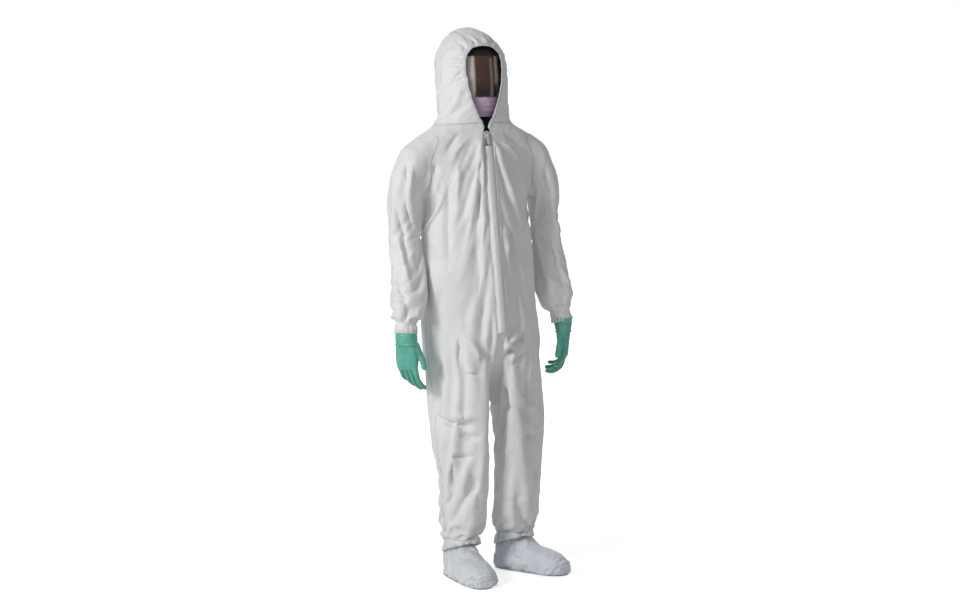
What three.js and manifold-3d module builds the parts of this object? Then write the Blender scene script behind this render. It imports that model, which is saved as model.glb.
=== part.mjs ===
// Hooded chemical protective suit with its gloves, boot covers, face shield and mask, standing as it is worn.
// Millimetres, +Z up. The suit faces -Y and the wearer's left is +X. The origin is on the floor, under the middle
// of the suit's bounding box. Everything below is placed from the hip axis, and the whole suit is moved at the end.
// Fabric is a 3 mm shell. Limbs are cut round their joints so that they turn without touching.
import * as THREE from "three";
import { LoftGeometry } from "three/addons/geometries/LoftGeometry.js";
import { mergeVertices } from "three/addons/utils/BufferGeometryUtils.js";
import Module from "manifold-3d";

const wasm = await Module();
wasm.setup();

// ---- driving dimensions ----
const WALL = 3; // garment shell
const GAP = 0.4; // between pieces that lie against each other
const SWING_GAP = 1.5; // between pieces that turn past each other
const SEGMENTS = 20; // round a limb
const TORSO_SEGMENTS = 24;
const BOOT_SEGMENTS = 20;
const BAND_SEGMENTS = 10; // elastics hidden in the hems
const GLOVE_SEGMENTS = 16;
const HEAD_SEGMENTS = 18;
const ROUND_SEGMENTS = 40; // round a joint
const FAR = 1000; // past anything in the suit

const HOOD_TOP = 1800;
const NECK_Z = 1478;
const ARMHOLE_X = 188;
const WAIST_Z = 1100;
const SIDE_SEAM_Y = 5;

const SHOULDER = { y: 5, z: 1375 };
const ELBOW = { x: 256, y: 10, z: 1110, r: 86 };
const WRIST = { x: 283, y: -42, z: 812, r: 50 };
const CUFF_Z = 832;
const HIP = { x: 106, y: 0, z: 880, r: 180 };
const KNEE = { x: 107, y: -10, z: 492, r: 112 };
const ANKLE = { x: 98, y: 15, z: 95 };
const HEM_Z = 140;
const NECK = { y: 20, z: 1600, r: 150 };
const SPLAY = { left: 24, right: 3 }; // degrees each foot turns out

const ZIP_TOP = { y: -95, z: 1455 };
const ZIP_BOTTOM = { y: -162.7, z: 812 };
const ZIP_LENGTH = Math.hypot(ZIP_TOP.y - ZIP_BOTTOM.y, ZIP_TOP.z - ZIP_BOTTOM.z);
const ZIP_TILT = Math.atan2(ZIP_TOP.y - ZIP_BOTTOM.y, ZIP_TOP.z - ZIP_BOTTOM.z);
const ZIP_EDGE_X = 16; // the front panels end here, and the zip tapes fill the gap

const FACE = { halfWidth: 63, top: 1733, springZ: 1668, cheekZ: 1590, bottom: 1463 };

// ---- materials ----
const matte = (color, roughness = 0.75) => new THREE.MeshStandardMaterial({ color, roughness, metalness: 0 });
const FABRIC = matte(0xd4d5d8, 0.62);
const BOOT_FABRIC = matte(0xcfd6e2, 0.6);
const SOLE = matte(0xb9c0cc, 0.9);
const ELASTIC = matte(0xe6e6e4, 0.85);
const ZIP_TAPE = matte(0xdcdcdc, 0.85);
const ZIP_COIL = matte(0xc9c9c9, 0.45);
const NITRILE = matte(0x53ad97, 0.45);
const KNIT = matte(0x1c1a1c, 0.95);
const FOAM = matte(0x242426, 1);
const BLACK_PLASTIC = matte(0x18181a, 0.4);
const MASK_CLOTH = matte(0xb79ab2, 0.85);
const METAL = new THREE.MeshStandardMaterial({ color: 0x9a9da0, roughness: 0.35, metalness: 1 });
const LENS = new THREE.MeshStandardMaterial({ color: 0x9a7f72, roughness: 0.1, transparent: true, opacity: 0.4 });

// ---- solids ----
function solid(geometry) {
  const bare = new THREE.BufferGeometry().copy(geometry);
  bare.deleteAttribute("normal");
  bare.deleteAttribute("uv");
  const merged = mergeVertices(bare, 1e-3);
  const position = merged.getAttribute("position").array;
  const make = (triVerts) =>
    new wasm.Manifold(new wasm.Mesh({ numProp: 3, vertProperties: position, triVerts }));
  const triangles = new Uint32Array(merged.index.array);
  const made = make(triangles);
  if (made.volume() > 0) return made;
  for (let i = 0; i < triangles.length; i += 3)
    [triangles[i + 1], triangles[i + 2]] = [triangles[i + 2], triangles[i + 1]];
  return make(triangles);
}

function geometryOf(manifold) {
  const mesh = manifold.getMesh();
  const position = new Float32Array(mesh.numVert * 3);
  for (let i = 0; i < mesh.numVert; i++)
    position.set(mesh.vertProperties.subarray(i * mesh.numProp, i * mesh.numProp + 3), i * 3);
  return new THREE.BufferGeometry()
    .setAttribute("position", new THREE.BufferAttribute(position, 3))
    .setIndex(new THREE.BufferAttribute(new Uint32Array(mesh.triVerts), 1));
}

// A box from one corner to another.
function block([x0, y0, z0], [x1, y1, z1]) {
  const box = new THREE.BoxGeometry(x1 - x0, y1 - y0, z1 - z0);
  return solid(box.translate((x0 + x1) / 2, (y0 + y1) / 2, (z0 + z1) / 2));
}

// A cylinder along X, centred on x = 0.
function drum({ y, z }, radius, halfLength = FAR, segments = ROUND_SEGMENTS) {
  const cylinder = new THREE.CylinderGeometry(radius, radius, halfLength * 2, segments);
  return solid(cylinder.rotateZ(Math.PI / 2).translate(0, y, z));
}

function ball({ y, z }, radius) {
  return solid(new THREE.SphereGeometry(radius, ROUND_SEGMENTS, ROUND_SEGMENTS / 2).translate(0, y, z));
}

const signedPower = (value, power) => Math.sign(value) * Math.abs(value) ** power;

// A horizontal superellipse section with its own reach to the front (-Y) and to the back (+Y).
function ring({ x = 0, y = 0, z, rx, front, back = front, n = 2.4 }, inset = 0, segments = SEGMENTS) {
  return Array.from({ length: segments }, (_, k) => {
    const t = (k / segments) * Math.PI * 2;
    const reach = (Math.sin(t) > 0 ? back : front) - inset;
    return new THREE.Vector3(
      x + (rx - inset) * signedPower(Math.cos(t), 2 / n),
      y + reach * signedPower(Math.sin(t), 2 / n),
      z,
    );
  });
}

const loft = (sections) => solid(new LoftGeometry(sections, { capStart: true, capEnd: true }));

// Stations from the bottom up as a solid, inset by a distance, with its ends moved out by extra.
function column(stations, inset = 0, extra = 0, segments = SEGMENTS) {
  const first = { ...stations[0], z: stations[0].z - extra };
  const last = { ...stations.at(-1), z: stations.at(-1).z + extra };
  const all = extra ? [first, ...stations, last] : stations;
  return loft(all.map((station) => ring(station, inset, segments)));
}

const END_CUT = 5; // how far a hollow runs past the end it opens

function sleeve(stations, wall = WALL, segments = SEGMENTS) {
  return column(stations, 0, 0, segments).subtract(column(stations, wall, END_CUT, segments));
}

// A flat outline in the YZ plane, extruded along X from x0 to x1.
function prismX(points, x0, x1) {
  const shape = new THREE.Shape(points.map(([y, z]) => new THREE.Vector2(y, z)));
  const extruded = new THREE.ExtrudeGeometry(shape, { depth: x1 - x0, bevelEnabled: false });
  const toX = new THREE.Matrix4().makeBasis(
    new THREE.Vector3(0, 1, 0),
    new THREE.Vector3(0, 0, 1),
    new THREE.Vector3(1, 0, 0),
  );
  return solid(extruded.applyMatrix4(toX).translate(x0, 0, 0));
}

// The space a limb sweeps below a joint as it folds. Angles are from straight down towards the fold,
// side is -1 for a fold to the front (-Y) and 1 for one to the back, and halfDepth is the limb's.
function foldRoom({ y, z, r }, halfDepth, side, from, to) {
  const reach = 460;
  const spread = Math.asin(halfDepth / r);
  const at = (angle, radius) => [y + side * Math.sin(angle) * radius, z - Math.cos(angle) * radius];
  const low = THREE.MathUtils.degToRad(from);
  const high = THREE.MathUtils.degToRad(to);
  const farSpread = Math.asin(halfDepth / reach);
  const points = [];
  const arcSteps = 14;
  for (let k = 0; k <= arcSteps; k++)
    points.push(at(low - spread + ((high - low + 2 * spread) * k) / arcSteps, r));
  const outerSteps = 4;
  for (let k = outerSteps; k >= 0; k--)
    points.push(at(low - farSpread + ((high - low + 2 * farSpread) * k) / outerSteps, reach));
  return prismX(points, -FAR, FAR);
}

const between = (z0, z1) => block([-FAR, -FAR, z0], [FAR, FAR, z1]);

// ---- assembly helpers ----
const HIPS_BEHIND_MIDDLE = 35.8;
const suit = new THREE.Group();
suit.position.y = HIPS_BEHIND_MIDDLE;

function place(name, shape, material, parent = suit) {
  const mesh = new THREE.Mesh(shape.isBufferGeometry ? shape : geometryOf(shape), material);
  mesh.name = name;
  parent.add(mesh);
  return mesh;
}

const mirrored = (manifold) => manifold.mirror([1, 0, 0]);
const SIDES = [
  { side: "left", turn: (manifold) => manifold, sign: 1 },
  { side: "right", turn: mirrored, sign: -1 },
];

// ---- torso ----
// The front runs straight from the throat to the fly, so that the zip can slide.
function frontReach(z) {
  const share = (ZIP_TOP.z - z) / (ZIP_TOP.z - ZIP_BOTTOM.z);
  return -(ZIP_TOP.y + (ZIP_BOTTOM.y - ZIP_TOP.y) * share);
}

const TORSO_STATIONS = [
  { z: 660, rx: 182, back: 124 },
  { z: 760, rx: 184, back: 134 },
  { z: 850, rx: 186, back: 138 },
  { z: 950, rx: 186, back: 132 },
  { z: 1050, rx: 184, back: 120 },
  { z: WAIST_Z, rx: 183, back: 114 },
  { z: 1180, rx: 183, back: 120 },
  { z: 1270, rx: 184, back: 125, n: 2.6 },
  { z: 1325, rx: 200, back: 124, n: 2.9 },
  { z: 1385, rx: 214, back: 118, n: 3 },
  { z: 1430, rx: 198, back: 114, n: 2.8 },
  { z: 1458, rx: 160, back: 112, n: 2.4 },
  { z: NECK_Z, rx: 124, back: 112, n: 2.1 },
].map((station) => ({ ...station, front: frontReach(station.z) }));

function torsoShell() {
  const tube = column(TORSO_STATIONS, 0, 0, TORSO_SEGMENTS).subtract(
    column(TORSO_STATIONS, WALL, END_CUT, TORSO_SEGMENTS),
  );
  const hips = drum(HIP, HIP.r).add(block([-FAR, -FAR, HIP.z], [FAR, FAR, FAR * 2]));
  return tube
    .intersect(block([-ARMHOLE_X, -FAR, 0], [ARMHOLE_X, FAR, FAR * 2]))
    .intersect(hips)
    .subtract(faceCutter());
}

// The face opening's outline, a round top over a long V, cut straight through the front.
function faceCutter(grow = 0) {
  const { halfWidth, top, springZ, cheekZ, bottom } = FACE;
  const half = halfWidth + grow;
  const rise = top + grow - springZ;
  const arcSteps = 14;
  const outline = [new THREE.Vector2(0, bottom - grow), new THREE.Vector2(half * 0.9, cheekZ)];
  for (let k = 0; k <= arcSteps; k++) {
    const t = (k / arcSteps) * Math.PI;
    outline.push(new THREE.Vector2(half * Math.cos(t), springZ + rise * Math.sin(t)));
  }
  outline.push(new THREE.Vector2(-half * 0.9, cheekZ));
  const shape = new THREE.Shape(outline);
  const depth = 260;
  const extruded = new THREE.ExtrudeGeometry(shape, { depth, bevelEnabled: false });
  return solid(extruded.rotateX(Math.PI / 2).translate(0, -40, 0));
}

function buildTorso() {
  const shell = torsoShell();
  const front = block([ZIP_EDGE_X + GAP, -FAR, 0], [FAR, SIDE_SEAM_Y - GAP / 2, FAR * 2]);
  const overV = shell.intersect(front);
  place("front_panel_left", overV, FABRIC);
  place("front_panel_right", mirrored(overV), FABRIC);
  const back = shell.intersect(block([-FAR, SIDE_SEAM_Y + GAP / 2, 0], [FAR, FAR, FAR * 2]));
  place("back_panel", back.intersect(between(WAIST_Z + GAP / 2, FAR * 2)), FABRIC);
  place("seat_panel", back.intersect(between(0, WAIST_Z - GAP / 2)), FABRIC);

  const elasticHalfHeight = 12;
  const elasticInset = WALL + GAP;
  const elastic = column(TORSO_STATIONS, elasticInset, 0, TORSO_SEGMENTS)
    .subtract(column(TORSO_STATIONS, elasticInset + 2, END_CUT, TORSO_SEGMENTS))
    .intersect(between(WAIST_Z - elasticHalfHeight, WAIST_Z + elasticHalfHeight))
    .intersect(block([-150, SIDE_SEAM_Y + 40, 0], [150, FAR, FAR * 2]));
  place("waist_elastic", elastic, ELASTIC);

  // The gusset closes the crotch between the two leg openings, along the round the legs turn on.
  const gussetHalfWidth = 24;
  const arc = drum(HIP, HIP.r - GAP).subtract(drum(HIP, HIP.r - GAP - WALL));
  const gusset = arc
    .intersect(block([-gussetHalfWidth, -154, 0], [gussetHalfWidth, 126, HIP.z]));
  place("crotch_gusset", gusset, FABRIC);
}

// ---- zip and storm flap, in a frame whose Z runs up the zip and whose -Y faces out ----
const zipFrame = new THREE.Group();
zipFrame.position.set(0, ZIP_TOP.y, ZIP_TOP.z);
zipFrame.rotation.x = -ZIP_TILT;
suit.add(zipFrame);

const COIL = { width: 3, pitch: 10, rise: 1.6 };
const TAPE_INNER_X = COIL.width + GAP;
const ZIP_END = 6; // room for the stops at each end of the coil

// Half of the coil: a spine with one tooth for each pitch, seen from the front.
function coilHalf() {
  const bottom = -ZIP_LENGTH + ZIP_END + 4;
  const count = Math.floor((-ZIP_END - bottom) / COIL.pitch);
  const shape = new THREE.Shape();
  shape.moveTo(GAP / 2, bottom);
  shape.lineTo(COIL.width, bottom);
  shape.lineTo(COIL.width, bottom + count * COIL.pitch);
  for (let k = count; k > 0; k--) {
    const top = bottom + k * COIL.pitch;
    shape.lineTo(GAP / 2, top);
    shape.lineTo(COIL.width * 0.5, top - COIL.pitch * 0.5);
  }
  const extruded = new THREE.ExtrudeGeometry(shape, { depth: 2.4, bevelEnabled: false });
  return solid(extruded.rotateX(Math.PI / 2).translate(0, 2 - COIL.rise, 0));
}

function buildZip() {
  const tapeTop = -2;
  const tapeBottom = -ZIP_LENGTH + 6;
  const tape = block([TAPE_INNER_X, 0.8, tapeBottom], [ZIP_EDGE_X - GAP / 2, 1.8, tapeTop]);
  place("zip_tape_left", tape, ZIP_TAPE, zipFrame);
  place("zip_tape_right", mirrored(tape), ZIP_TAPE, zipFrame);
  const coil = coilHalf();
  place("zip_coil_left", coil, ZIP_COIL, zipFrame);
  place("zip_coil_right", mirrored(coil), ZIP_COIL, zipFrame);

  const stop = block([GAP, -1.4, -ZIP_END + GAP], [COIL.width, 1.2, -1]);
  place("zip_top_stop_left", stop, METAL, zipFrame);
  place("zip_top_stop_right", mirrored(stop), METAL, zipFrame);
  const bottomZ = -ZIP_LENGTH + 6;
  const bottomStop = block([-COIL.width, -1.4, bottomZ], [COIL.width, 1.2, bottomZ + ZIP_END - 3]);
  place("zip_bottom_stop", bottomStop, METAL, zipFrame);
}

const SLIDER = { top: -9, length: 16, halfWidth: 6, face: -3.9 };

function buildSlider() {
  const { top, length, halfWidth, face } = SLIDER;
  const wing = new THREE.Shape();
  wing.moveTo(-halfWidth, top);
  wing.lineTo(halfWidth, top);
  wing.quadraticCurveTo(halfWidth, top - length * 0.6, halfWidth * 0.62, top - length);
  wing.lineTo(-halfWidth * 0.62, top - length);
  wing.quadraticCurveTo(-halfWidth, top - length * 0.6, -halfWidth, top);
  const plate = solid(
    new THREE.ExtrudeGeometry(wing, { depth: 1.5, bevelEnabled: false, curveSegments: 5 })
      .rotateX(Math.PI / 2)
      .translate(0, face + 1.5, 0),
  );
  const flange = block([COIL.width + 0.8, face + 0.5, top - length * 0.7], [halfWidth - 0.8, 0.3, top - 1]);
  const bridgeZ = top - 4.5;
  const bridge = block([-1.2, face - 3.4, bridgeZ - 5], [1.2, face + 0.2, bridgeZ + 2]);
  const eye = drum({ y: face - 1.5, z: bridgeZ }, 1.1, 4, 8);
  place("zip_slider", plate.add(flange).add(mirrored(flange)).add(bridge).subtract(eye), METAL, zipFrame);

  // The tab hangs on a pin through the bridge's eye and lies flat in front of the slider.
  const pin = drum({ y: face - 1.5, z: bridgeZ }, 0.6, 3.2, 8);
  const armX = [1.6, 3.2];
  const arm = block([armX[0], face - 2.3, bridgeZ - 12], [armX[1], face - 0.7, bridgeZ + 0.8]);
  const tab = block([-3.2, face - 2.3, bridgeZ - 32], [3.2, face - 0.7, bridgeZ - 11]);
  const grip = block([-2, face - 2.9, bridgeZ - 29], [2, face - 2.2, bridgeZ - 15]);
  const puller = pin.add(arm).add(mirrored(arm)).add(tab).add(grip);
  place("zip_pull_tab", puller, METAL, zipFrame);
}

const FLAP = { halfWidth: 25, rise: 12.5, thick: 1.2, top: -54, bottom: -ZIP_LENGTH + 1 };

// The flap bows over the zip. Its sewn edge is on the wearer's right.
function buildFlap() {
  const { halfWidth, rise, thick, top, bottom } = FLAP;
  const steps = 12;
  const arch = (t, drop) => [
    -halfWidth + 2 * halfWidth * t,
    -0.6 - (rise - drop) * Math.sin(Math.PI * t) ** 0.8 - (thick - drop),
  ];
  const outline = [];
  for (let k = 0; k <= steps; k++) outline.push(new THREE.Vector2(...arch(k / steps, 0)));
  for (let k = steps; k >= 0; k--) outline.push(new THREE.Vector2(...arch(k / steps, thick)));
  const options = { depth: top - bottom, bevelEnabled: false };
  const flap = new THREE.ExtrudeGeometry(new THREE.Shape(outline), options).translate(0, 0, bottom);
  place("storm_flap", solid(flap), FABRIC, zipFrame);

  const inner = (t) => [arch(t, thick)[0], arch(t, thick)[1] + 0.3];
  const strip = [];
  const stripFrom = 0.78;
  const stripTo = 0.93;
  for (let k = 0; k <= 2; k++) strip.push(inner(stripFrom + ((stripTo - stripFrom) * k) / 2));
  for (let k = 2; k >= 0; k--) {
    const [x, y] = inner(stripFrom + ((stripTo - stripFrom) * k) / 2);
    strip.push([x - 0.5, y + 0.7]);
  }
  const stripShape = new THREE.Shape(strip.map(([x, y]) => new THREE.Vector2(x, y)));
  const tape = new THREE.ExtrudeGeometry(stripShape, { depth: top - bottom - 8, bevelEnabled: false });
  place("flap_adhesive_strip", solid(tape.translate(0, 0, bottom + 4)), ELASTIC, zipFrame);
}

// ---- sleeves ----
// The sleeve head turns from the armhole, which stands upright, down into the arm round the armpit.
function upperSleeveSections(inset, armholeX) {
  const armpit = { x: ARMHOLE_X + 1, z: 1306 };
  const fan = [
    { turn: 0, across: 67, along: 76 },
    { turn: 22, across: 67, along: 75 },
    { turn: 44, across: 64, along: 73 },
    { turn: 66, across: 60, along: 70 },
  ];
  const sections = fan.map(({ turn, across, along }) => {
    const angle = THREE.MathUtils.degToRad(turn);
    const outward = new THREE.Vector3(Math.sin(angle), 0, Math.cos(angle));
    const centre = outward.clone().multiplyScalar(across + 3);
    centre.add(new THREE.Vector3(turn ? armpit.x : armholeX, SHOULDER.y, armpit.z));
    return Array.from({ length: SEGMENTS }, (_, k) => {
      const t = (k / SEGMENTS) * Math.PI * 2;
      const point = centre.clone();
      point.addScaledVector(outward, (across - inset) * Math.cos(t));
      point.y -= (along - inset) * Math.sin(t);
      return point;
    });
  });
  // The first point of a fan section is the outermost, so the horizontal rings start there too.
  const arm = [
    { x: 247, y: 6, z: 1280, rx: 56, front: 67 },
    { x: 251, y: 8, z: 1195, rx: 57, front: 64 },
    { x: ELBOW.x, y: ELBOW.y, z: ELBOW.z, rx: 57, front: 57 },
    { x: 260, y: 6, z: ELBOW.z - ELBOW.r - 14, rx: 57, front: 57 },
  ];
  const rings = arm.map((station) => ring({ ...station, n: 2.15 }, inset).reverse());
  const startAtOutermost = rings.map((points) => [points.at(-1), ...points.slice(0, -1)]);
  return sections.concat(startAtOutermost);
}

const FOREARM_STATIONS = [
  { x: 282, y: -38, z: CUFF_Z, rx: 43, front: 46 },
  { x: 281, y: -34, z: CUFF_Z + 22, rx: 46, front: 50 },
  { x: 276, y: -25, z: 900, rx: 56, front: 57 },
  { x: 267, y: -9, z: 1000, rx: 58, front: 58 },
  { x: ELBOW.x, y: ELBOW.y, z: ELBOW.z, rx: 57, front: 57 },
].map((station) => ({ ...station, n: 2.15 }));

function buildSleeves() {
  const elbowRoom = foldRoom(ELBOW, 60, -1, -3, 101);
  const armholeX = ARMHOLE_X + SWING_GAP;
  const outer = loft(upperSleeveSections(0, armholeX));
  const inner = loft(upperSleeveSections(WALL, armholeX - END_CUT));
  const upper = outer
    .subtract(inner)
    .intersect(block([armholeX, -FAR, 0], [FAR, FAR, FAR * 2]))
    .subtract(elbowRoom);
  const forearm = sleeve(FOREARM_STATIONS)
    .subtract(drum(ELBOW, ELBOW.r + SWING_GAP))
    .subtract(drum(WRIST, WRIST.r));
  const cuffInset = WALL + GAP;
  const elastic = column(FOREARM_STATIONS, cuffInset, 0, BAND_SEGMENTS)
    .subtract(column(FOREARM_STATIONS, cuffInset + 1.8, END_CUT, BAND_SEGMENTS))
    .intersect(between(WRIST.z + WRIST.r + 2, WRIST.z + WRIST.r + 12));
  for (const { side, turn } of SIDES) {
    place(`upper_sleeve_${side}`, turn(upper), FABRIC);
    place(`lower_sleeve_${side}`, turn(forearm), FABRIC);
    place(`wrist_elastic_${side}`, turn(elastic), ELASTIC);
  }
}

// ---- gloves, built with the fingers down, the thumb at +X and the palm at +Y ----
const PALM_STATIONS = [
  { z: -108, rx: 39, front: 13 },
  { z: -80, rx: 45, front: 17 },
  { z: -45, rx: 44, front: 21 },
  { z: -18, rx: 41, front: 27 },
  { z: 16, rx: 44, front: 36, n: 2.1 },
  { z: 60, rx: 44, front: 38, n: 2.1 },
].map((station) => ({ n: 2.6, ...station }));

const FINGERS = [
  { x: 29, lengths: [40, 32], radius: 10.5 },
  { x: 10, lengths: [44, 36], radius: 11 },
  { x: -9.5, lengths: [41, 33], radius: 10.5 },
  { x: -28, lengths: [32, 26], radius: 9.5 },
];
const FINGER_CURL = [12, 34]; // degrees each bone leans from straight down
const THUMB = [new THREE.Vector3(26, 4, -30), new THREE.Vector3(53, 14, -66), new THREE.Vector3(57, 22, -98)];

// A digit along its bones, round in section, thinning to a rounded tip.
function digit(points, radius) {
  const [root, knuckle, tip] = points;
  const onward = new THREE.Vector3().subVectors(tip, knuckle).normalize();
  const stops = [
    [root, radius * 1.05],
    [knuckle, radius],
    [tip, radius * 0.88],
    [tip.clone().addScaledVector(onward, radius * 0.55), radius * 0.66],
    [tip.clone().addScaledVector(onward, radius * 0.8), radius * 0.25],
  ];
  const segments = 8;
  const sections = stops.map(([centre, r], k) => {
    const before = stops[Math.max(k - 1, 0)][0];
    const after = stops[Math.min(k + 1, stops.length - 1)][0];
    const along = new THREE.Vector3().subVectors(after, before).normalize();
    const across = new THREE.Vector3(1, 0, 0).addScaledVector(along, -along.x).normalize();
    const up = new THREE.Vector3().crossVectors(along, across);
    return Array.from({ length: segments }, (_, i) => {
      const t = ((i + 0.5) / segments) * Math.PI * 2;
      const point = centre.clone().addScaledVector(across, r * Math.cos(t));
      return point.addScaledVector(up, r * Math.sin(t));
    });
  });
  return loft(sections);
}

function gloveSolid() {
  let hand = column(PALM_STATIONS, 0, 0, GLOVE_SEGMENTS);
  for (const { x, lengths, radius } of FINGERS) {
    const bones = [new THREE.Vector3(x, 0, -97)];
    lengths.forEach((length, k) => {
      const lean = THREE.MathUtils.degToRad(FINGER_CURL[k]);
      const step = new THREE.Vector3(0, Math.sin(lean), -Math.cos(lean)).multiplyScalar(length);
      bones.push(bones[k].clone().add(step));
    });
    hand = hand.add(digit(bones, radius));
  }
  hand = hand.add(digit(THUMB, 12.5));
  return hand.subtract(column(PALM_STATIONS.slice(1), WALL, END_CUT, GLOVE_SEGMENTS));
}

const HAND_TURN = { left: 62, right: -62 }; // degrees about Z that bring each thumb round to the front

function buildGloves() {
  const glove = gloveSolid();
  const cuffInset = WALL + GAP + 0.8;
  const cuffBead = column(PALM_STATIONS, cuffInset, 0, BAND_SEGMENTS)
    .subtract(column(PALM_STATIONS, cuffInset + 2.2, END_CUT, BAND_SEGMENTS))
    .intersect(between(-4, 5));
  for (const { side, sign } of SIDES) {
    const flip = sign > 0 ? mirrored : (manifold) => manifold;
    const toHand = (manifold) =>
      flip(manifold).rotate([0, 0, HAND_TURN[side]]).translate([sign * WRIST.x, WRIST.y, WRIST.z]);
    const roundTop = drum(WRIST, WRIST.r - SWING_GAP).add(between(0, WRIST.z));
    place(`glove_${side}`, toHand(glove).intersect(roundTop), NITRILE);
    place(`glove_cuff_bead_${side}`, toHand(cuffBead), NITRILE);
  }
}

// ---- legs ----
const THIGH_STATIONS = [
  { x: 107, y: -10, z: KNEE.z - KNEE.r - 14, rx: 88, front: 80 },
  { x: KNEE.x, y: KNEE.y, z: KNEE.z, rx: 88, front: 80 },
  { x: 109, y: -6, z: 600, rx: 88, front: 93 },
  { x: HIP.x, y: -3, z: 690, rx: 83, front: 124, back: 112 },
  { x: HIP.x, y: 0, z: 760, rx: 80, front: 152, back: 128 },
  { x: HIP.x, y: 0, z: 830, rx: 79, front: 168, back: 136 },
];

const SHIN_STATIONS = [
  { x: ANKLE.x, y: 12, z: HEM_Z, rx: 66, front: 70 },
  { x: 99, y: 10, z: HEM_Z + 26, rx: 72, front: 78 },
  { x: 101, y: 2, z: 230, rx: 81, front: 80 },
  { x: 105, y: -6, z: 360, rx: 87, front: 80 },
  { x: KNEE.x, y: KNEE.y, z: KNEE.z, rx: 88, front: 80 },
];

function buildLegs() {
  const kneeRoom = foldRoom(KNEE, 84, 1, -3, 95);
  const thigh = sleeve(THIGH_STATIONS)
    .subtract(drum(HIP, HIP.r + SWING_GAP))
    .subtract(block([-FAR, -FAR, HIP.z - 58], [FAR, FAR, FAR * 2]))
    .subtract(kneeRoom);
  const shin = sleeve(SHIN_STATIONS).subtract(drum(KNEE, KNEE.r + SWING_GAP));
  const hemInset = WALL + GAP;
  const elastic = column(SHIN_STATIONS, hemInset, 0, BAND_SEGMENTS)
    .subtract(column(SHIN_STATIONS, hemInset + 1.8, END_CUT, BAND_SEGMENTS))
    .intersect(between(HEM_Z + 3, HEM_Z + 13));
  for (const { side, turn } of SIDES) {
    place(`upper_leg_${side}`, turn(thigh), FABRIC);
    place(`lower_leg_${side}`, turn(shin), FABRIC);
    place(`ankle_elastic_${side}`, turn(elastic), ELASTIC);
  }
}

// ---- boot covers, each built round its own ankle and turned out ----
const SOLE_THICK = 7;
const BOOT_STATIONS = [
  { y: 0, z: SOLE_THICK + GAP, rx: 53, front: 222, back: 62 },
  { y: 0, z: 34, rx: 56, front: 224, back: 66 },
  { y: 0, z: 62, rx: 54, front: 196, back: 64 },
  { y: 0, z: 88, rx: 50, front: 128, back: 62 },
  { y: 0, z: 112, rx: 48, front: 76, back: 60 },
  { y: 0, z: 135, rx: 47, front: 50, back: 54 },
];

function buildBoots() {
  const hollow = BOOT_STATIONS.map((station, k) => (k ? station : { ...station, z: station.z + WALL }));
  const upper = column(BOOT_STATIONS, 0, 0, BOOT_SEGMENTS).subtract(
    loft([...hollow, { ...hollow.at(-1), z: hollow.at(-1).z + END_CUT }].map((s) => ring(s, WALL, BOOT_SEGMENTS))),
  );
  const soleOutline = { ...BOOT_STATIONS[0], rx: 55, front: 225, back: 64 };
  const sole = column([{ ...soleOutline, z: 0 }, { ...soleOutline, z: SOLE_THICK }], 0, 0, BOOT_SEGMENTS);
  const tieInset = WALL + GAP;
  const tie = column(BOOT_STATIONS, tieInset, 0, BAND_SEGMENTS)
    .subtract(column(BOOT_STATIONS, tieInset + 1.6, END_CUT, BAND_SEGMENTS))
    .intersect(between(123, 132));
  for (const { side, sign } of SIDES) {
    const foot = new THREE.Group();
    foot.position.set(sign * ANKLE.x, ANKLE.y, 0);
    foot.rotation.z = THREE.MathUtils.degToRad(sign * SPLAY[side]);
    suit.add(foot);
    place(`boot_cover_${side}`, upper, BOOT_FABRIC, foot);
    place(`boot_sole_${side}`, sole, SOLE, foot);
    place(`boot_elastic_${side}`, tie, ELASTIC, foot);
  }
}

// ---- hood, neck and what is worn under the hood ----
const HOOD_STATIONS = [
  { y: 0, z: NECK_Z + GAP, rx: 122, front: 98, back: 112, n: 2.1 },
  { y: 2, z: 1530, rx: 118, front: 103, back: 120, n: 2.1 },
  { y: 4, z: 1600, rx: 116, front: 109, back: 128, n: 2.1 },
  { y: 6, z: 1660, rx: 114, front: 112, back: 132, n: 2.1 },
  { y: 10, z: 1710, rx: 106, front: 108, back: 128, n: 2.1 },
  { y: 16, z: 1750, rx: 88, front: 92, back: 112, n: 2.1 },
  { y: 26, z: 1780, rx: 60, front: 64, back: 84, n: 2.1 },
  { y: 32, z: HOOD_TOP, rx: 20, front: 24, back: 34, n: 2.1 },
];

function hoodShell() {
  const inner = HOOD_STATIONS.map((station) => ({ ...station }));
  inner.at(-1).z -= WALL;
  inner.unshift({ ...inner[0], z: inner[0].z - END_CUT });
  const hollow = loft(inner.map((station) => ring(station, WALL)));
  return column(HOOD_STATIONS).subtract(hollow).subtract(faceCutter());
}

// The hood's centre panel runs from above the face over the top and down the back.
function centreStrip(grow) {
  const half = 44 + grow;
  const overTop = block([-half, -FAR, 1690 - grow], [half, FAR, FAR * 2]);
  return overTop.add(block([-half, 20 - grow, 0], [half, FAR, FAR * 2]));
}

function buildHood() {
  const shell = hoodShell();
  const swing = ball(NECK, NECK.r);
  const below = between(0, NECK.z);
  const hood = shell.subtract(below.subtract(swing));
  place("hood_centre_panel", hood.intersect(centreStrip(0)), FABRIC);
  const sidePanel = hood.subtract(centreStrip(GAP)).intersect(block([0, -FAR, 0], [FAR, FAR, FAR * 2]));
  place("hood_side_left", sidePanel, FABRIC);
  place("hood_side_right", mirrored(sidePanel), FABRIC);
  const band = shell.intersect(below).subtract(ball(NECK, NECK.r + SWING_GAP));
  place("neck_panel", band, FABRIC);
}

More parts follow.
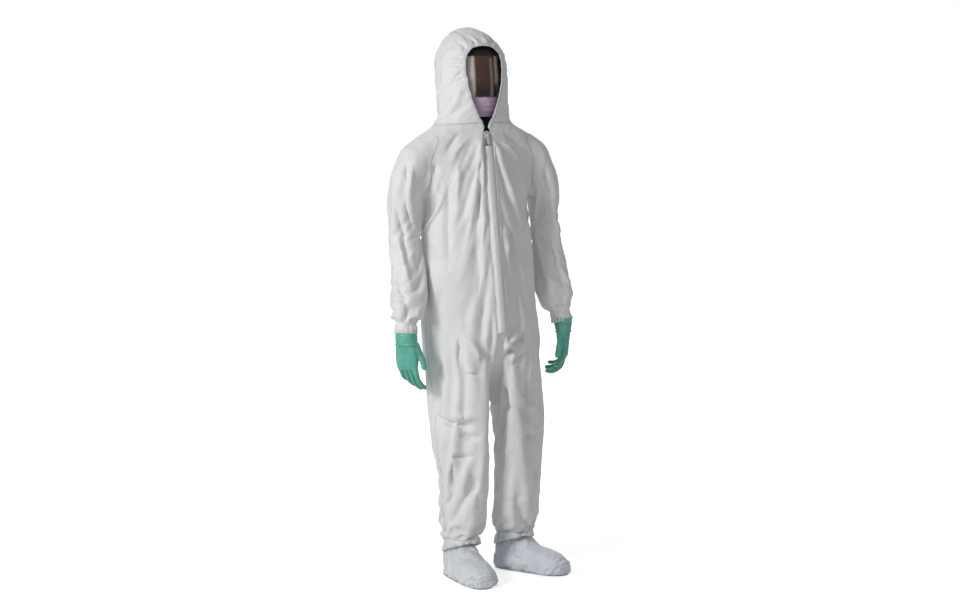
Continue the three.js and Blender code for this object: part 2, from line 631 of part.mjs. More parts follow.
// Rings of the head inside the hood, grown by a distance.
function headStations(grow) {
  return [
    { y: 8, z: 1492, rx: 78, front: 70, back: 84 },
    { y: 6, z: 1545, rx: 80, front: 84, back: 90 },
    { y: 6, z: 1620, rx: 84, front: 90, back: 98 },
    { y: 8, z: 1690, rx: 82, front: 88, back: 98 },
    { y: 12, z: 1735, rx: 62, front: 68, back: 78 },
    { y: 16, z: 1756, rx: 30, front: 32, back: 42 },
  ].map((s) => ({ ...s, rx: s.rx + grow, front: s.front + grow, back: s.back + grow, n: 2.1 }));
}

function buildInnerHood() {
  const hollow = headStations(0);
  hollow.at(-1).z -= 3;
  hollow.unshift({ ...hollow[0], z: hollow[0].z - END_CUT });
  const eyeOpening = block([-56, -FAR, 1616], [56, -20, 1692]);
  const knit = column(headStations(0), 0, 0, HEAD_SEGMENTS)
    .subtract(loft(hollow.map((station) => ring(station, 2.4, HEAD_SEGMENTS))))
    .subtract(eyeOpening)
    .intersect(ball(NECK, NECK.r - 6).add(between(NECK.z, FAR * 2)));
  place("inner_hood", knit, KNIT);
}

// A band that follows the head at a distance, between two heights, on one side of a plane in y.
function headBand(z0, z1, near, far, yLow, yHigh) {
  return column(headStations(far), 0, 0, HEAD_SEGMENTS)
    .subtract(column(headStations(near), 0, END_CUT, HEAD_SEGMENTS))
    .intersect(block([-FAR, yLow, z0], [FAR, yHigh, z1]));
}

const VISOR = { bottom: 1570, top: 1696, near: 6, far: 8.2, sideY: -40 };

function buildFaceShield() {
  const { bottom, top, near, far, sideY } = VISOR;
  place("visor_lens", headBand(bottom, top, near, far, -FAR, sideY), LENS);
  place("brow_band", headBand(top + GAP, top + 24, near, far + 1.4, -FAR, sideY), BLACK_PLASTIC);
  place("brow_foam", headBand(top + GAP, top + 20, GAP, near - GAP, -FAR, sideY - 8), FOAM);
  place("head_strap", headBand(top + 4, top + 18, 1, 2.6, sideY + 8, FAR), ELASTIC);
}

function buildMask() {
  const maskZ = [1505, 1568];
  const pleat = { first: 4, pitch: 17, height: 12, count: 3 };
  const near = 1.2;
  let cloth = headBand(maskZ[0], maskZ[1], near, near + 2.4, -FAR, -48);
  for (let k = 0; k < pleat.count; k++) {
    const z = maskZ[0] + pleat.first + k * pleat.pitch;
    cloth = cloth.add(headBand(z, z + pleat.height, near + 2, near + 4.2, -FAR, -52));
  }
  place("face_mask", cloth, MASK_CLOTH);
  const clip = headBand(maskZ[1] - 9, maskZ[1] - 5, near + 2.8, near + 3.8, -FAR, -68);
  place("mask_nose_clip", clip, METAL);
  const loop = headBand(1540, 1544, near, near + 2, -48 + GAP, 12).intersect(block([0, -FAR, 0], [FAR, FAR, FAR * 2]));
  place("mask_ear_loop_left", loop, MASK_CLOTH);
  place("mask_ear_loop_right", mirrored(loop), MASK_CLOTH);
}

// The elastic follows the face opening inside the hood and stops each side of the zip.
function buildFaceElastic() {
  const shell = column(HOOD_STATIONS, WALL + GAP).subtract(column(HOOD_STATIONS, WALL + GAP + 2, END_CUT));
  const rim = faceCutter(9).subtract(faceCutter(1));
  const loop = shell.intersect(rim).intersect(between(NECK.z - 70, FAR * 2));
  place("face_elastic", loop.decompose()[0], ELASTIC);
}

buildTorso();
buildZip();
buildSlider();
buildFlap();
buildSleeves();
buildGloves();
buildLegs();
buildBoots();
buildHood();
buildInnerHood();
buildFaceShield();
buildMask();
buildFaceElastic();

export default suit;
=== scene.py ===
"""A white hooded chemical protective suit with gloves, boot covers, shield and mask, standing as worn."""

import math
from contextlib import contextmanager

import bmesh
import bpy
import numpy as np
from mathutils import Matrix, Vector, noise
from mathutils.bvhtree import BVHTree


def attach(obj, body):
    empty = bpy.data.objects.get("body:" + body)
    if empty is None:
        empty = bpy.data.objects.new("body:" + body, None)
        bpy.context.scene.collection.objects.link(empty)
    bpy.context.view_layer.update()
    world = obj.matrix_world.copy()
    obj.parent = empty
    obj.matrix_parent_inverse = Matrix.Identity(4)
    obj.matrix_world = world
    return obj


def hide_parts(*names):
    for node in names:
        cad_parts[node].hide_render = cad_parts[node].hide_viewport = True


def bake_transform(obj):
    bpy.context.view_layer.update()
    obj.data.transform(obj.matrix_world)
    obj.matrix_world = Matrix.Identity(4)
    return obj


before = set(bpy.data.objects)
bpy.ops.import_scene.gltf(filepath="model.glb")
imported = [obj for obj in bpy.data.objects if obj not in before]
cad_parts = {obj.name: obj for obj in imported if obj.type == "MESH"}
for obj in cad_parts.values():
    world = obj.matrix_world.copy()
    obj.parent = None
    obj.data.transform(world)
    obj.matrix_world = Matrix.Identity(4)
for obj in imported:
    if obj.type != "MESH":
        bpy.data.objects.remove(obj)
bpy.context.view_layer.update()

# ---- where things are, in metres, measured from the hip axis, before the whole suit is moved ----
HIPS_BEHIND_MIDDLE = 0.0358
SIDES = (("left", 1), ("right", -1))

ARMHOLE_X = 0.188
SLEEVE_LOW = 0.77
WRIST = (0.283, -0.042, 0.812)
ANKLE = (0.098, 0.015, 0.095)

ZIP_TOP = (0.0, -0.095, 1.455)
ZIP_BOTTOM = (0.0, -0.1627, 0.812)
ZIP_EDGE_X = 0.016
SLOT_LOW = ZIP_BOTTOM[2] + 0.004
CUFF_Z = 0.818
WAIST_Z = 1.100
HEM_Z = 0.088
HEM_SLOPE = 0.35

# half width, height of each point up one side of the face opening, from the throat to the brow
FACE_OUTLINE = ((0.0, 1.463), (0.024, 1.500), (0.043, 1.545), (0.057, 1.600), (0.063, 1.645),
                (0.0615, 1.675), (0.053, 1.701), (0.033, 1.718), (0.0, 1.724))

# ---- where the mesh parts, and the stretch at the shoulder that the sleeves and the trunk are kept apart across ----
TORSO_END_X = 0.165
SHOULDER_BLEND_X = (0.1865, 0.1990)
ARMPIT_Z = 1.235
ARM_SPLITS = (1.19, 0.965)
LEG_SPLITS = (0.56, 0.40)
NECK_SPLITS = (1.452, 1.497, 1.575)
HIP_SPLIT_Z = 0.90
THROAT_Z = 1.4615
NECK_SEAM_Z = 1.480

# ---- cloth ----
CLOTH_THICK = 0.0009
FULLER_SIDES = 0.016
CLOTH_EDGE = 0.0088
GROWTH = 0.055
FRAMES = 34


# ================================================================ meshes
def full_turn(count):
    """Evenly spaced angles once round."""
    return np.arange(count) / count * 2 * np.pi


def powered(values, power):
    """Each value raised to a power, keeping its sign."""
    return np.sign(values) * np.abs(values) ** power


def ring(x, y, z, rx, front, back=None, n=2.3, count=44):
    """A level superellipse section, with its own reach to the front (-Y) and to the back (+Y)."""
    t = full_turn(count)
    power = 2 / n
    across = powered(np.cos(t), power)
    along = powered(np.sin(t), power)
    reach = np.where(along > 0, front if back is None else back, front)
    return np.stack([x + rx * across, y + reach * along, np.full(count, z)], 1)


def tube_faces(rings, count, closed=True, caps=True):
    faces = []
    for k in range(rings - 1):
        for i in range(count if closed else count - 1):
            j = (i + 1) % count
            faces.append((k * count + i, k * count + j, (k + 1) * count + j, (k + 1) * count + i))
    if caps:
        faces.append(tuple(range(count))[::-1])
        faces.append(tuple((rings - 1) * count + i for i in range(count)))
    return faces


def sweep(path, radii, count=32, side=(1, 0, 0)):
    """Rings square to a path. radii holds (towards side, across it) at each point."""
    path = np.array(path, float)
    tangents = np.gradient(path, axis=0)
    rings = []
    for point, tangent, (r_side, r_across) in zip(path, tangents, radii):
        tangent /= np.linalg.norm(tangent)
        u = np.array(side, float) - tangent * np.dot(side, tangent)
        u /= np.linalg.norm(u)
        v = np.cross(tangent, u)
        t = full_turn(count)[:, None]
        rings.append(point + u * r_side * np.cos(t) + v * r_across * np.sin(t))
    return rings


def new_object(name, verts, faces):
    mesh = bpy.data.meshes.new(name)
    mesh.from_pydata([tuple(v) for v in verts], [], [tuple(f) for f in faces])
    mesh.validate()
    mesh.update()
    obj = bpy.data.objects.new(name, mesh)
    bpy.context.scene.collection.objects.link(obj)
    return obj


def loft_object(name, rings):
    count = len(rings[0])
    return new_object(name, np.concatenate(rings), tube_faces(len(rings), count))


def vectors(items, key):
    out = np.empty(len(items) * 3, np.float32)
    items.foreach_get(key, out)
    return out.reshape(-1, 3).astype(float)


def points_of(obj):
    return vectors(obj.data.vertices, "co")


def normals_of(obj):
    return vectors(obj.data.vertex_normals, "vector")


def faces_of(obj):
    return [tuple(p.vertices) for p in obj.data.polygons]


def set_points(obj, co):
    obj.data.vertices.foreach_set("co", np.asarray(co, np.float32).ravel())
    obj.data.update()


def apply_modifiers(obj):
    graph = bpy.context.evaluated_depsgraph_get()
    mesh = bpy.data.meshes.new_from_object(obj.evaluated_get(graph))
    old = obj.data
    obj.modifiers.clear()
    obj.data = mesh
    bpy.data.meshes.remove(old)
    return obj


def join_meshes(name, objects):
    """One object holding several meshes. The originals are removed."""
    verts, faces, offset = [], [], 0
    for obj in objects:
        verts.append(points_of(obj))
        faces += [tuple(offset + i for i in face) for face in faces_of(obj)]
        offset += len(obj.data.vertices)
        bpy.data.objects.remove(obj)
    return new_object(name, np.concatenate(verts), faces)


def remeshed(obj, voxel, smoothing=2):
    modifier = obj.modifiers.new("remesh", "REMESH")
    modifier.mode = "VOXEL"
    modifier.voxel_size = voxel
    apply_modifiers(obj)
    relax(obj, smoothing)
    return obj


@contextmanager
def opened(obj):
    """The object's mesh, opened for editing and written back at the end."""
    mesh = bmesh.new()
    mesh.from_mesh(obj.data)
    yield mesh
    mesh.to_mesh(obj.data)
    mesh.free()


def relax(obj, rounds, factor=0.5, chosen=lambda v: True):
    """Moves each chosen point towards the middle of its neighbours."""
    with opened(obj) as mesh:
        verts = [v for v in mesh.verts if chosen(v)]
        for _ in range(rounds):
            bmesh.ops.smooth_vert(mesh, verts=verts, factor=factor, use_axis_x=True, use_axis_y=True,
                                  use_axis_z=True)


def smoothstep(a, b, value):
    t = np.clip((value - a) / (b - a), 0, 1)
    return t * t * (3 - 2 * t)


# ================================================================ the coverall's cut
def zip_y(z):
    """The straight front line that the zip lies on."""
    share = (ZIP_TOP[2] - z) / (ZIP_TOP[2] - ZIP_BOTTOM[2])
    return ZIP_TOP[1] + (ZIP_BOTTOM[1] - ZIP_TOP[1]) * share


def front_reach(z):
    """How far the trunk comes forward: to the zip line, and tucking under below it."""
    tuck = 0.26 * max(0.0, 0.80 - z)
    return -zip_y(max(z, ZIP_BOTTOM[2])) - tuck


# z, half width, reach to the back, squareness; the front reach follows the zip line
TRUNK = ((0.700, 0.178, 0.118, 2.4), (0.760, 0.182, 0.128, 2.4), (0.850, 0.185, 0.134, 2.4),
         (0.950, 0.184, 0.128, 2.4), (1.050, 0.182, 0.117, 2.4), (1.120, 0.181, 0.113, 2.4),
         (1.200, 0.178, 0.118, 2.5), (1.280, 0.180, 0.122, 2.6), (1.340, 0.190, 0.121, 2.7),
         (1.395, 0.198, 0.114, 2.7), (1.434, 0.190, 0.109, 2.5), (1.460, 0.160, 0.108, 2.3),
         (1.482, 0.122, 0.109, 2.15), (1.510, 0.112, 0.112, 2.1))
# y, z, half width, front, back
HOOD = ((0.000, 1.440, 0.118, 0.093, 0.106), (0.002, 1.480, 0.119, 0.098, 0.110),
        (0.004, 1.530, 0.116, 0.104, 0.119), (0.005, 1.590, 0.115, 0.110, 0.127),
        (0.007, 1.650, 0.1135, 0.113, 0.131), (0.010, 1.700, 0.107, 0.110, 0.129),
        (0.016, 1.740, 0.092, 0.097, 0.117), (0.024, 1.770, 0.068, 0.074, 0.094),
        (0.033, 1.789, 0.038, 0.043, 0.058), (0.038, 1.797, 0.012, 0.014, 0.018))
# x, y, z, half width, half depth
SLEEVE = ((0.120, 0.006, 1.404, 0.052, 0.070), (0.165, 0.006, 1.398, 0.056, 0.073),
          (0.205, 0.006, 1.370, 0.060, 0.073), (0.234, 0.006, 1.318, 0.057, 0.070),
          (0.253, 0.007, 1.250, 0.047, 0.065), (0.256, 0.009, 1.180, 0.050, 0.063),
          (0.257, 0.009, 1.110, 0.052, 0.061), (0.261, -0.003, 1.040, 0.054, 0.060),
          (0.268, -0.016, 0.960, 0.056, 0.059), (0.276, -0.029, 0.890, 0.051, 0.053),
          (0.282, -0.038, 0.835, 0.036, 0.037), (0.283, -0.041, 0.800, 0.034, 0.034))
LEG = ((0.090, -0.012, 0.800, 0.088, 0.136), (0.095, -0.012, 0.720, 0.088, 0.126),
       (0.104, -0.012, 0.630, 0.090, 0.111), (0.106, -0.011, 0.550, 0.088, 0.098),
       (0.107, -0.010, 0.490, 0.087, 0.091), (0.106, -0.006, 0.420, 0.085, 0.087),
       (0.104, 0.000, 0.340, 0.083, 0.085), (0.101, 0.004, 0.250, 0.080, 0.083),
       (0.099, 0.006, 0.180, 0.077, 0.082), (0.098, 0.006, 0.120, 0.064, 0.072),
       (0.098, 0.006, 0.040, 0.058, 0.070))
# how much further out each leg stands, and how much wider it is, between the crotch and the ankle
LEG_STANCE = {"left": (0.011, 0.008), "right": (-0.001, -0.003)}


def coverall_volume(name):
    trunk = loft_object("trunk", [ring(0, 0, z, rx, front_reach(z), back, n) for z, rx, back, n in TRUNK])
    hood = loft_object("hood", [ring(0, y, z, rx, front, back, 2.1) for y, z, rx, front, back in HOOD])
    parts = [trunk, hood]
    for side, sign in SIDES:
        outward, wider = LEG_STANCE[side]
        for stations in (SLEEVE, LEG):
            share = [np.interp(s[2], (0.12, 0.26, 0.60, 0.71), (0, 1, 1, 0)) for s in stations]
            path = [(sign * (s[0] + outward * k), s[1], s[2]) for s, k in zip(stations, share)]
            radii = [(s[3] + wider * k, s[4] + wider * 0.5 * k) for s, k in zip(stations, share)]
            parts.append(loft_object("limb", sweep(path, radii)))
    return join_meshes(name, parts)


def melt_crotch(obj):
    """Rounds off the step where the legs leave the trunk."""
    relax(obj, 14, chosen=lambda v: 0.60 < v.co.z < 0.79 and abs(v.co.x) < 0.18)


def above_hem(co):
    """Height above the trouser hem, which is cut higher over the instep than at the heel."""
    return co[:, 2] - HEM_Z - HEM_SLOPE * (ANKLE[1] - co[:, 1])


def is_sleeve(co):
    return (np.abs(co[:, 0]) > ARMHOLE_X) & (co[:, 2] > SLEEVE_LOW)


def bisect(mesh, region, point, normal, clear=False):
    """Cuts the faces whose middle is in a region along a plane, and can drop what is beyond it."""
    faces = [f for f in mesh.faces if region(f.calc_center_median())]
    parts = dict.fromkeys([e for f in faces for e in f.edges] + [v for f in faces for v in f.verts])
    bmesh.ops.bisect_plane(mesh, geom=faces + list(parts), dist=1e-5, plane_co=point, plane_no=normal,
                           clear_outer=clear)


def face_half_width(z):
    """Half the face opening's width at a height, or less than nothing above and below it."""
    heights = [p[1] for p in FACE_OUTLINE]
    return np.interp(z, heights, [p[0] for p in FACE_OUTLINE], left=-1, right=-1)


def face_outline(steps=160):
    """The whole face opening as points (x, z) in order round it."""
    half = np.array(FACE_OUTLINE)
    length = np.concatenate([[0], np.cumsum(np.linalg.norm(np.diff(half, axis=0), axis=1))])
    at = np.linspace(0, length[-1], steps // 2)
    side = np.stack([np.interp(at, length, half[:, k]) for k in (0, 1)], 1)
    return np.concatenate([side, (side * (-1, 1))[-2:0:-1]])


def open_cuffs_and_zip(mesh):
    for sign in (1, -1):
        arm = lambda c, s=sign: s * c.x > ARMHOLE_X and c.z > SLEEVE_LOW
        leg = lambda c, s=sign: s * c.x > 0 and c.z < 0.66
        front = lambda c, s=sign: s * c.x > -0.02 and c.y < -0.03 and ZIP_BOTTOM[2] - 0.05 < c.z < 1.50
        bisect(mesh, arm, (sign * WRIST[0], WRIST[1], CUFF_Z), (0.12 * sign, -0.14, -1), clear=True)
        bisect(mesh, leg, (0, ANKLE[1], HEM_Z), (0, -HEM_SLOPE, -1), clear=True)
        bisect(mesh, front, (sign * ZIP_EDGE_X, 0, 0), (1, 0, 0))


def open_face(mesh):
    """Drops the faces inside the zip's slot and the face opening."""
    bisect(mesh, lambda c: c.y < -0.03 and abs(c.x) < 0.03 and c.z < 0.9, (0, 0, SLOT_LOW), (0, 0, 1))
    opening = []
    for face in mesh.faces:
        c = face.calc_center_median()
        in_slot = abs(c.x) < ZIP_EDGE_X and c.y < -0.03 and SLOT_LOW < c.z < 1.50
        in_face = c.y < -0.02 and abs(c.x) < face_half_width(c.z)
        if in_slot or in_face:
            opening.append(face)
    bmesh.ops.delete(mesh, geom=opening, context="FACES")
    bmesh.ops.delete(mesh, geom=[v for v in mesh.verts if not v.link_faces], context="VERTS")


def tidy_edges(mesh):
    """Pulls the face opening's edge onto its outline and merges the slivers that the cuts leave."""
    outline = face_outline()
    for v in mesh.verts:
        if v.is_boundary and v.co.z > 1.455 and v.co.y < 0:
            gaps = np.linalg.norm(outline - (v.co.x, v.co.z), axis=1)
            nearest = outline[int(np.argmin(gaps))]
            v.co.x, v.co.z = float(nearest[0]), float(nearest[1])
    edge = [v for v in mesh.verts if v.is_boundary]
    near_edge = dict.fromkeys(edge + [e.other_vert(v) for v in edge for e in v.link_edges])
    bmesh.ops.remove_doubles(mesh, verts=list(near_edge), dist=CLOTH_EDGE * 0.35)


def cut_coverall(obj):
    """Opens the cuffs, the hems, the zip and the face."""
    with opened(obj) as mesh:
        open_cuffs_and_zip(mesh)
        open_face(mesh)
        tidy_edges(mesh)


def ease(co, no):
    """How far the wearer's body is inside the cloth as drawn."""
    x, y, z = np.abs(co[:, 0]), co[:, 1], co[:, 2]
    loose = np.full(len(co), 0.024)
    limb = np.where(x > ARMHOLE_X, 0.016, 0.020)
    loose = np.where((z < 0.66) | is_sleeve(co), limb, loose)
    on_top = smoothstep(0.25, 0.7, no[:, 2]) * smoothstep(1.34, 1.40, z) * (z < 1.50)
    chest = smoothstep(1.15, 1.32, z)
    loose = loose * (1 - 0.45 * chest)
    loose = loose * (1 - on_top) + 0.003 * on_top
    in_hood = smoothstep(1.48, 1.56, z)
    loose = loose * (1 - in_hood) + 0.007 * in_hood
    knee = np.exp(-((z - 0.49) / 0.05) ** 2) * (y < 0) * (x < ARMHOLE_X)
    elbow = np.exp(-((z - 1.10) / 0.04) ** 2) * (y > 0.02) * (x > ARMHOLE_X)
    return loose * (1 - 0.55 * knee) * (1 - 0.6 * elbow)


def wearer():
    """A stand-in for the wearer's body that the cloth hangs on. It is deleted afterwards."""
    body = remeshed(coverall_volume("wearer"), 0.014, 3)
    co, no = points_of(body), normals_of(body)
    set_points(body, co - no * ease(co, no)[:, None])
    relax(body, 2)
    return collider(body, 0.002, 12)


def held(co):
    """How firmly each point of the cloth is held where it was drawn, from 0 to 1."""
    x, y, z = np.abs(co[:, 0]), co[:, 1], co[:, 2]
    sleeve = is_sleeve(co)
    hold = np.zeros(len(co))
    along = np.where(sleeve, (z - CUFF_Z) / 0.02, 9)
    hold = np.maximum(hold, np.clip(1.6 - along, 0, 1))
    hem = above_hem(co)
    hold = np.maximum(hold, np.where(~sleeve & (hem < 0.02), np.clip(1.6 - hem / 0.014, 0, 1), 0))
    outline = face_outline(80)
    front = (z > 1.44) & (y < 0)
    near = np.full(len(co), 9.0)
    near[front] = np.min(np.linalg.norm(co[front][:, None, [0, 2]] - outline[None], axis=2), axis=1)
    hold = np.maximum(hold, np.clip(1.5 - near / 0.010, 0, 1))
    slot = (y < -0.03) & (z > ZIP_BOTTOM[2] - 0.01) & (z < 1.50)
    hold = np.maximum(hold, np.where(slot, np.clip(1.5 - (x - ZIP_EDGE_X) / 0.008, 0, 1), 0))
    return hold


def calm(co):
    """Where the cloth hangs smoothly with little slack: the trunk, most of all along the zip."""
    x, y, z = np.abs(co[:, 0]), co[:, 1], co[:, 2]
    trunk = smoothstep(0.72, 0.84, z) * (1 - smoothstep(1.47, 1.50, z)) * (1 - smoothstep(0.150, 0.190, x))
    return trunk * (0.62 + 0.38 * smoothstep(0.02, -0.06, y))


def weight_group(obj, name, weights):
    group = obj.vertex_groups.new(name=name)
    levels = np.round(weights, 2)
    for level in np.unique(levels[levels > 0]):
        group.add([int(i) for i in np.flatnonzero(levels == level)], float(level), "REPLACE")


def drape(obj, frames, growth, bending, hold, steady):
    """Runs the cloth until it has settled and keeps the shape it takes."""
    weight_group(obj, "held", hold)
    weight_group(obj, "steady", steady)
    cloth = obj.modifiers.new("cloth", "CLOTH")
    s = cloth.settings
    s.quality = 5
    s.mass = 0.12
    s.air_damping = 2.0
    s.tension_stiffness = s.compression_stiffness = 25
    s.shear_stiffness = 12
    s.bending_stiffness = bending
    s.tension_damping = s.compression_damping = s.shear_damping = 6
    s.bending_damping = 0.6
    s.vertex_group_mass = "held"
    s.pin_stiffness = 1
    s.vertex_group_shrink = "steady"
    s.shrink_min = -growth
    s.shrink_max = -0.010
    cloth.collision_settings.distance_min = 0.002
    cloth.collision_settings.collision_quality = 2
    cloth.collision_settings.use_self_collision = False
    cloth.point_cache.frame_start = 1
    cloth.point_cache.frame_end = frames
    scene = bpy.context.scene
    for number in range(1, frames + 1):
        scene.frame_set(number)
    apply_modifiers(obj)
    obj.vertex_groups.clear()
    scene.frame_set(1)


def part_sleeves(obj, rest, widen=False):
    """Keeps the sleeves and the trunk on their own sides of the gap that the arms swing in."""
    co = points_of(obj)
    x, z = np.abs(co[:, 0]), co[:, 2]
    side = np.sign(co[:, 0])
    fuller = smoothstep(0.64, 0.78, z) * (1 - smoothstep(1.12, ARMPIT_Z, z)) * smoothstep(0.04, 0.17, x)
    x = np.where(is_sleeve(rest), x, x + FULLER_SIDES * fuller) if widen else x
    below = 1 - smoothstep(1.245, 1.300, z)
    low = 1 - smoothstep(1.165, ARMPIT_Z, z)
    sleeve = is_sleeve(rest)
    least = SHOULDER_BLEND_X[1] + 0.0013 - 0.0010 * low
    most = SHOULDER_BLEND_X[0] - 0.0015 + 0.0112 * low
    soft = 0.008
    room = x - least
    pushed = np.where(room < soft, least + soft * np.exp((room - soft) / soft), x)
    x_sleeve = x + (np.maximum(pushed, x) - x) * below
    room = most - x
    pulled = np.where(room < soft, most - soft * np.exp((room - soft) / soft), x)
    x_trunk = x + (np.minimum(pulled, x) - x) * below
    co[:, 0] = side * np.where(sleeve, x_sleeve, x_trunk)
    set_points(obj, co)


# ================================================================ the cloth after it has settled
def store_rest(obj, co):
    """Keeps where each point was drawn, which the materials and the split use."""
    attribute = obj.data.attributes.new("rest", "FLOAT_VECTOR", "POINT")
    attribute.data.foreach_set("vector", np.asarray(co, np.float32).ravel())


def rest_of(obj):
    return vectors(obj.data.attributes["rest"].data, "vector")


def refined(obj):
    modifier = obj.modifiers.new("finer", "SUBSURF")
    modifier.levels = modifier.render_levels = 1
    return apply_modifiers(obj)


def ripple(co, scale, shift=0.0):
    """Smooth noise from -1 to 1 at each point."""
    return np.array([noise.noise((p[0] * scale + shift, p[1] * scale, p[2] * scale)) for p in co]) * 1.6


def section(table, key, value, *columns):
    """Columns of a table of sections, read off where its key column has a value."""
    rows = sorted(table, key=lambda row: row[key])
    places = [row[key] for row in rows]
    return [np.interp(value, places, [row[k] for row in rows]) for k in columns]


def around(rest, sign, path):
    """Angle of each point round a limb that follows a path of (x, y, z)."""
    x, y = section(path, 2, rest[:, 2], 0, 1)
    return np.arctan2(rest[:, 1] - y, rest[:, 0] - sign * x)


def gathers(rest):
    """Small pleats that run out from the elastics in the cuffs, hems, waist and face opening."""
    out = np.zeros(len(rest))
    x, y, z = np.abs(rest[:, 0]), rest[:, 1], rest[:, 2]
    sleeve = is_sleeve(rest)
    wander = ripple(rest, 22)
    for _, sign in SIDES:
        mine = rest[:, 0] * sign > 0
        angle = around(rest, sign, SLEEVE)
        fade = np.exp(-np.maximum(z - CUFF_Z, 0) / 0.030)
        out += np.where(sleeve & mine, 0.0022 * fade * np.sin(13 * angle + 2.2 * wander), 0)
        angle = around(rest, sign, LEG)
        fade = np.exp(-np.maximum(above_hem(rest), 0) / 0.032)
        out += np.where(~sleeve & mine & (z < 0.4), 0.0028 * fade * np.sin(15 * angle + 2.5 * wander), 0)
    back_waist = (y > 0.02) & ~sleeve
    pleats = np.exp(-((z - WAIST_Z) / 0.028) ** 2) * np.sin(x * 330 + 2 * wander)
    out += np.where(back_waist, 0.0028 * pleats, 0)
    outline = face_outline(160)
    near = (z > 1.44) & (y < 0.01)
    gaps = np.linalg.norm(rest[near][:, None, [0, 2]] - outline[None], axis=2)
    edge = np.argmin(gaps, 1)
    away = np.min(gaps, 1)
    fade = np.exp(-((away - 0.020) / 0.014) ** 2) * smoothstep(1.56, 1.66, z[near])
    out[near] += 0.0042 * fade * np.sin(edge * 2 * np.pi / 160 * 26 + 2.0 * wander[near])
    return out


FOLD_DEPTH = 2.0
FOLD_STEP = 0.003
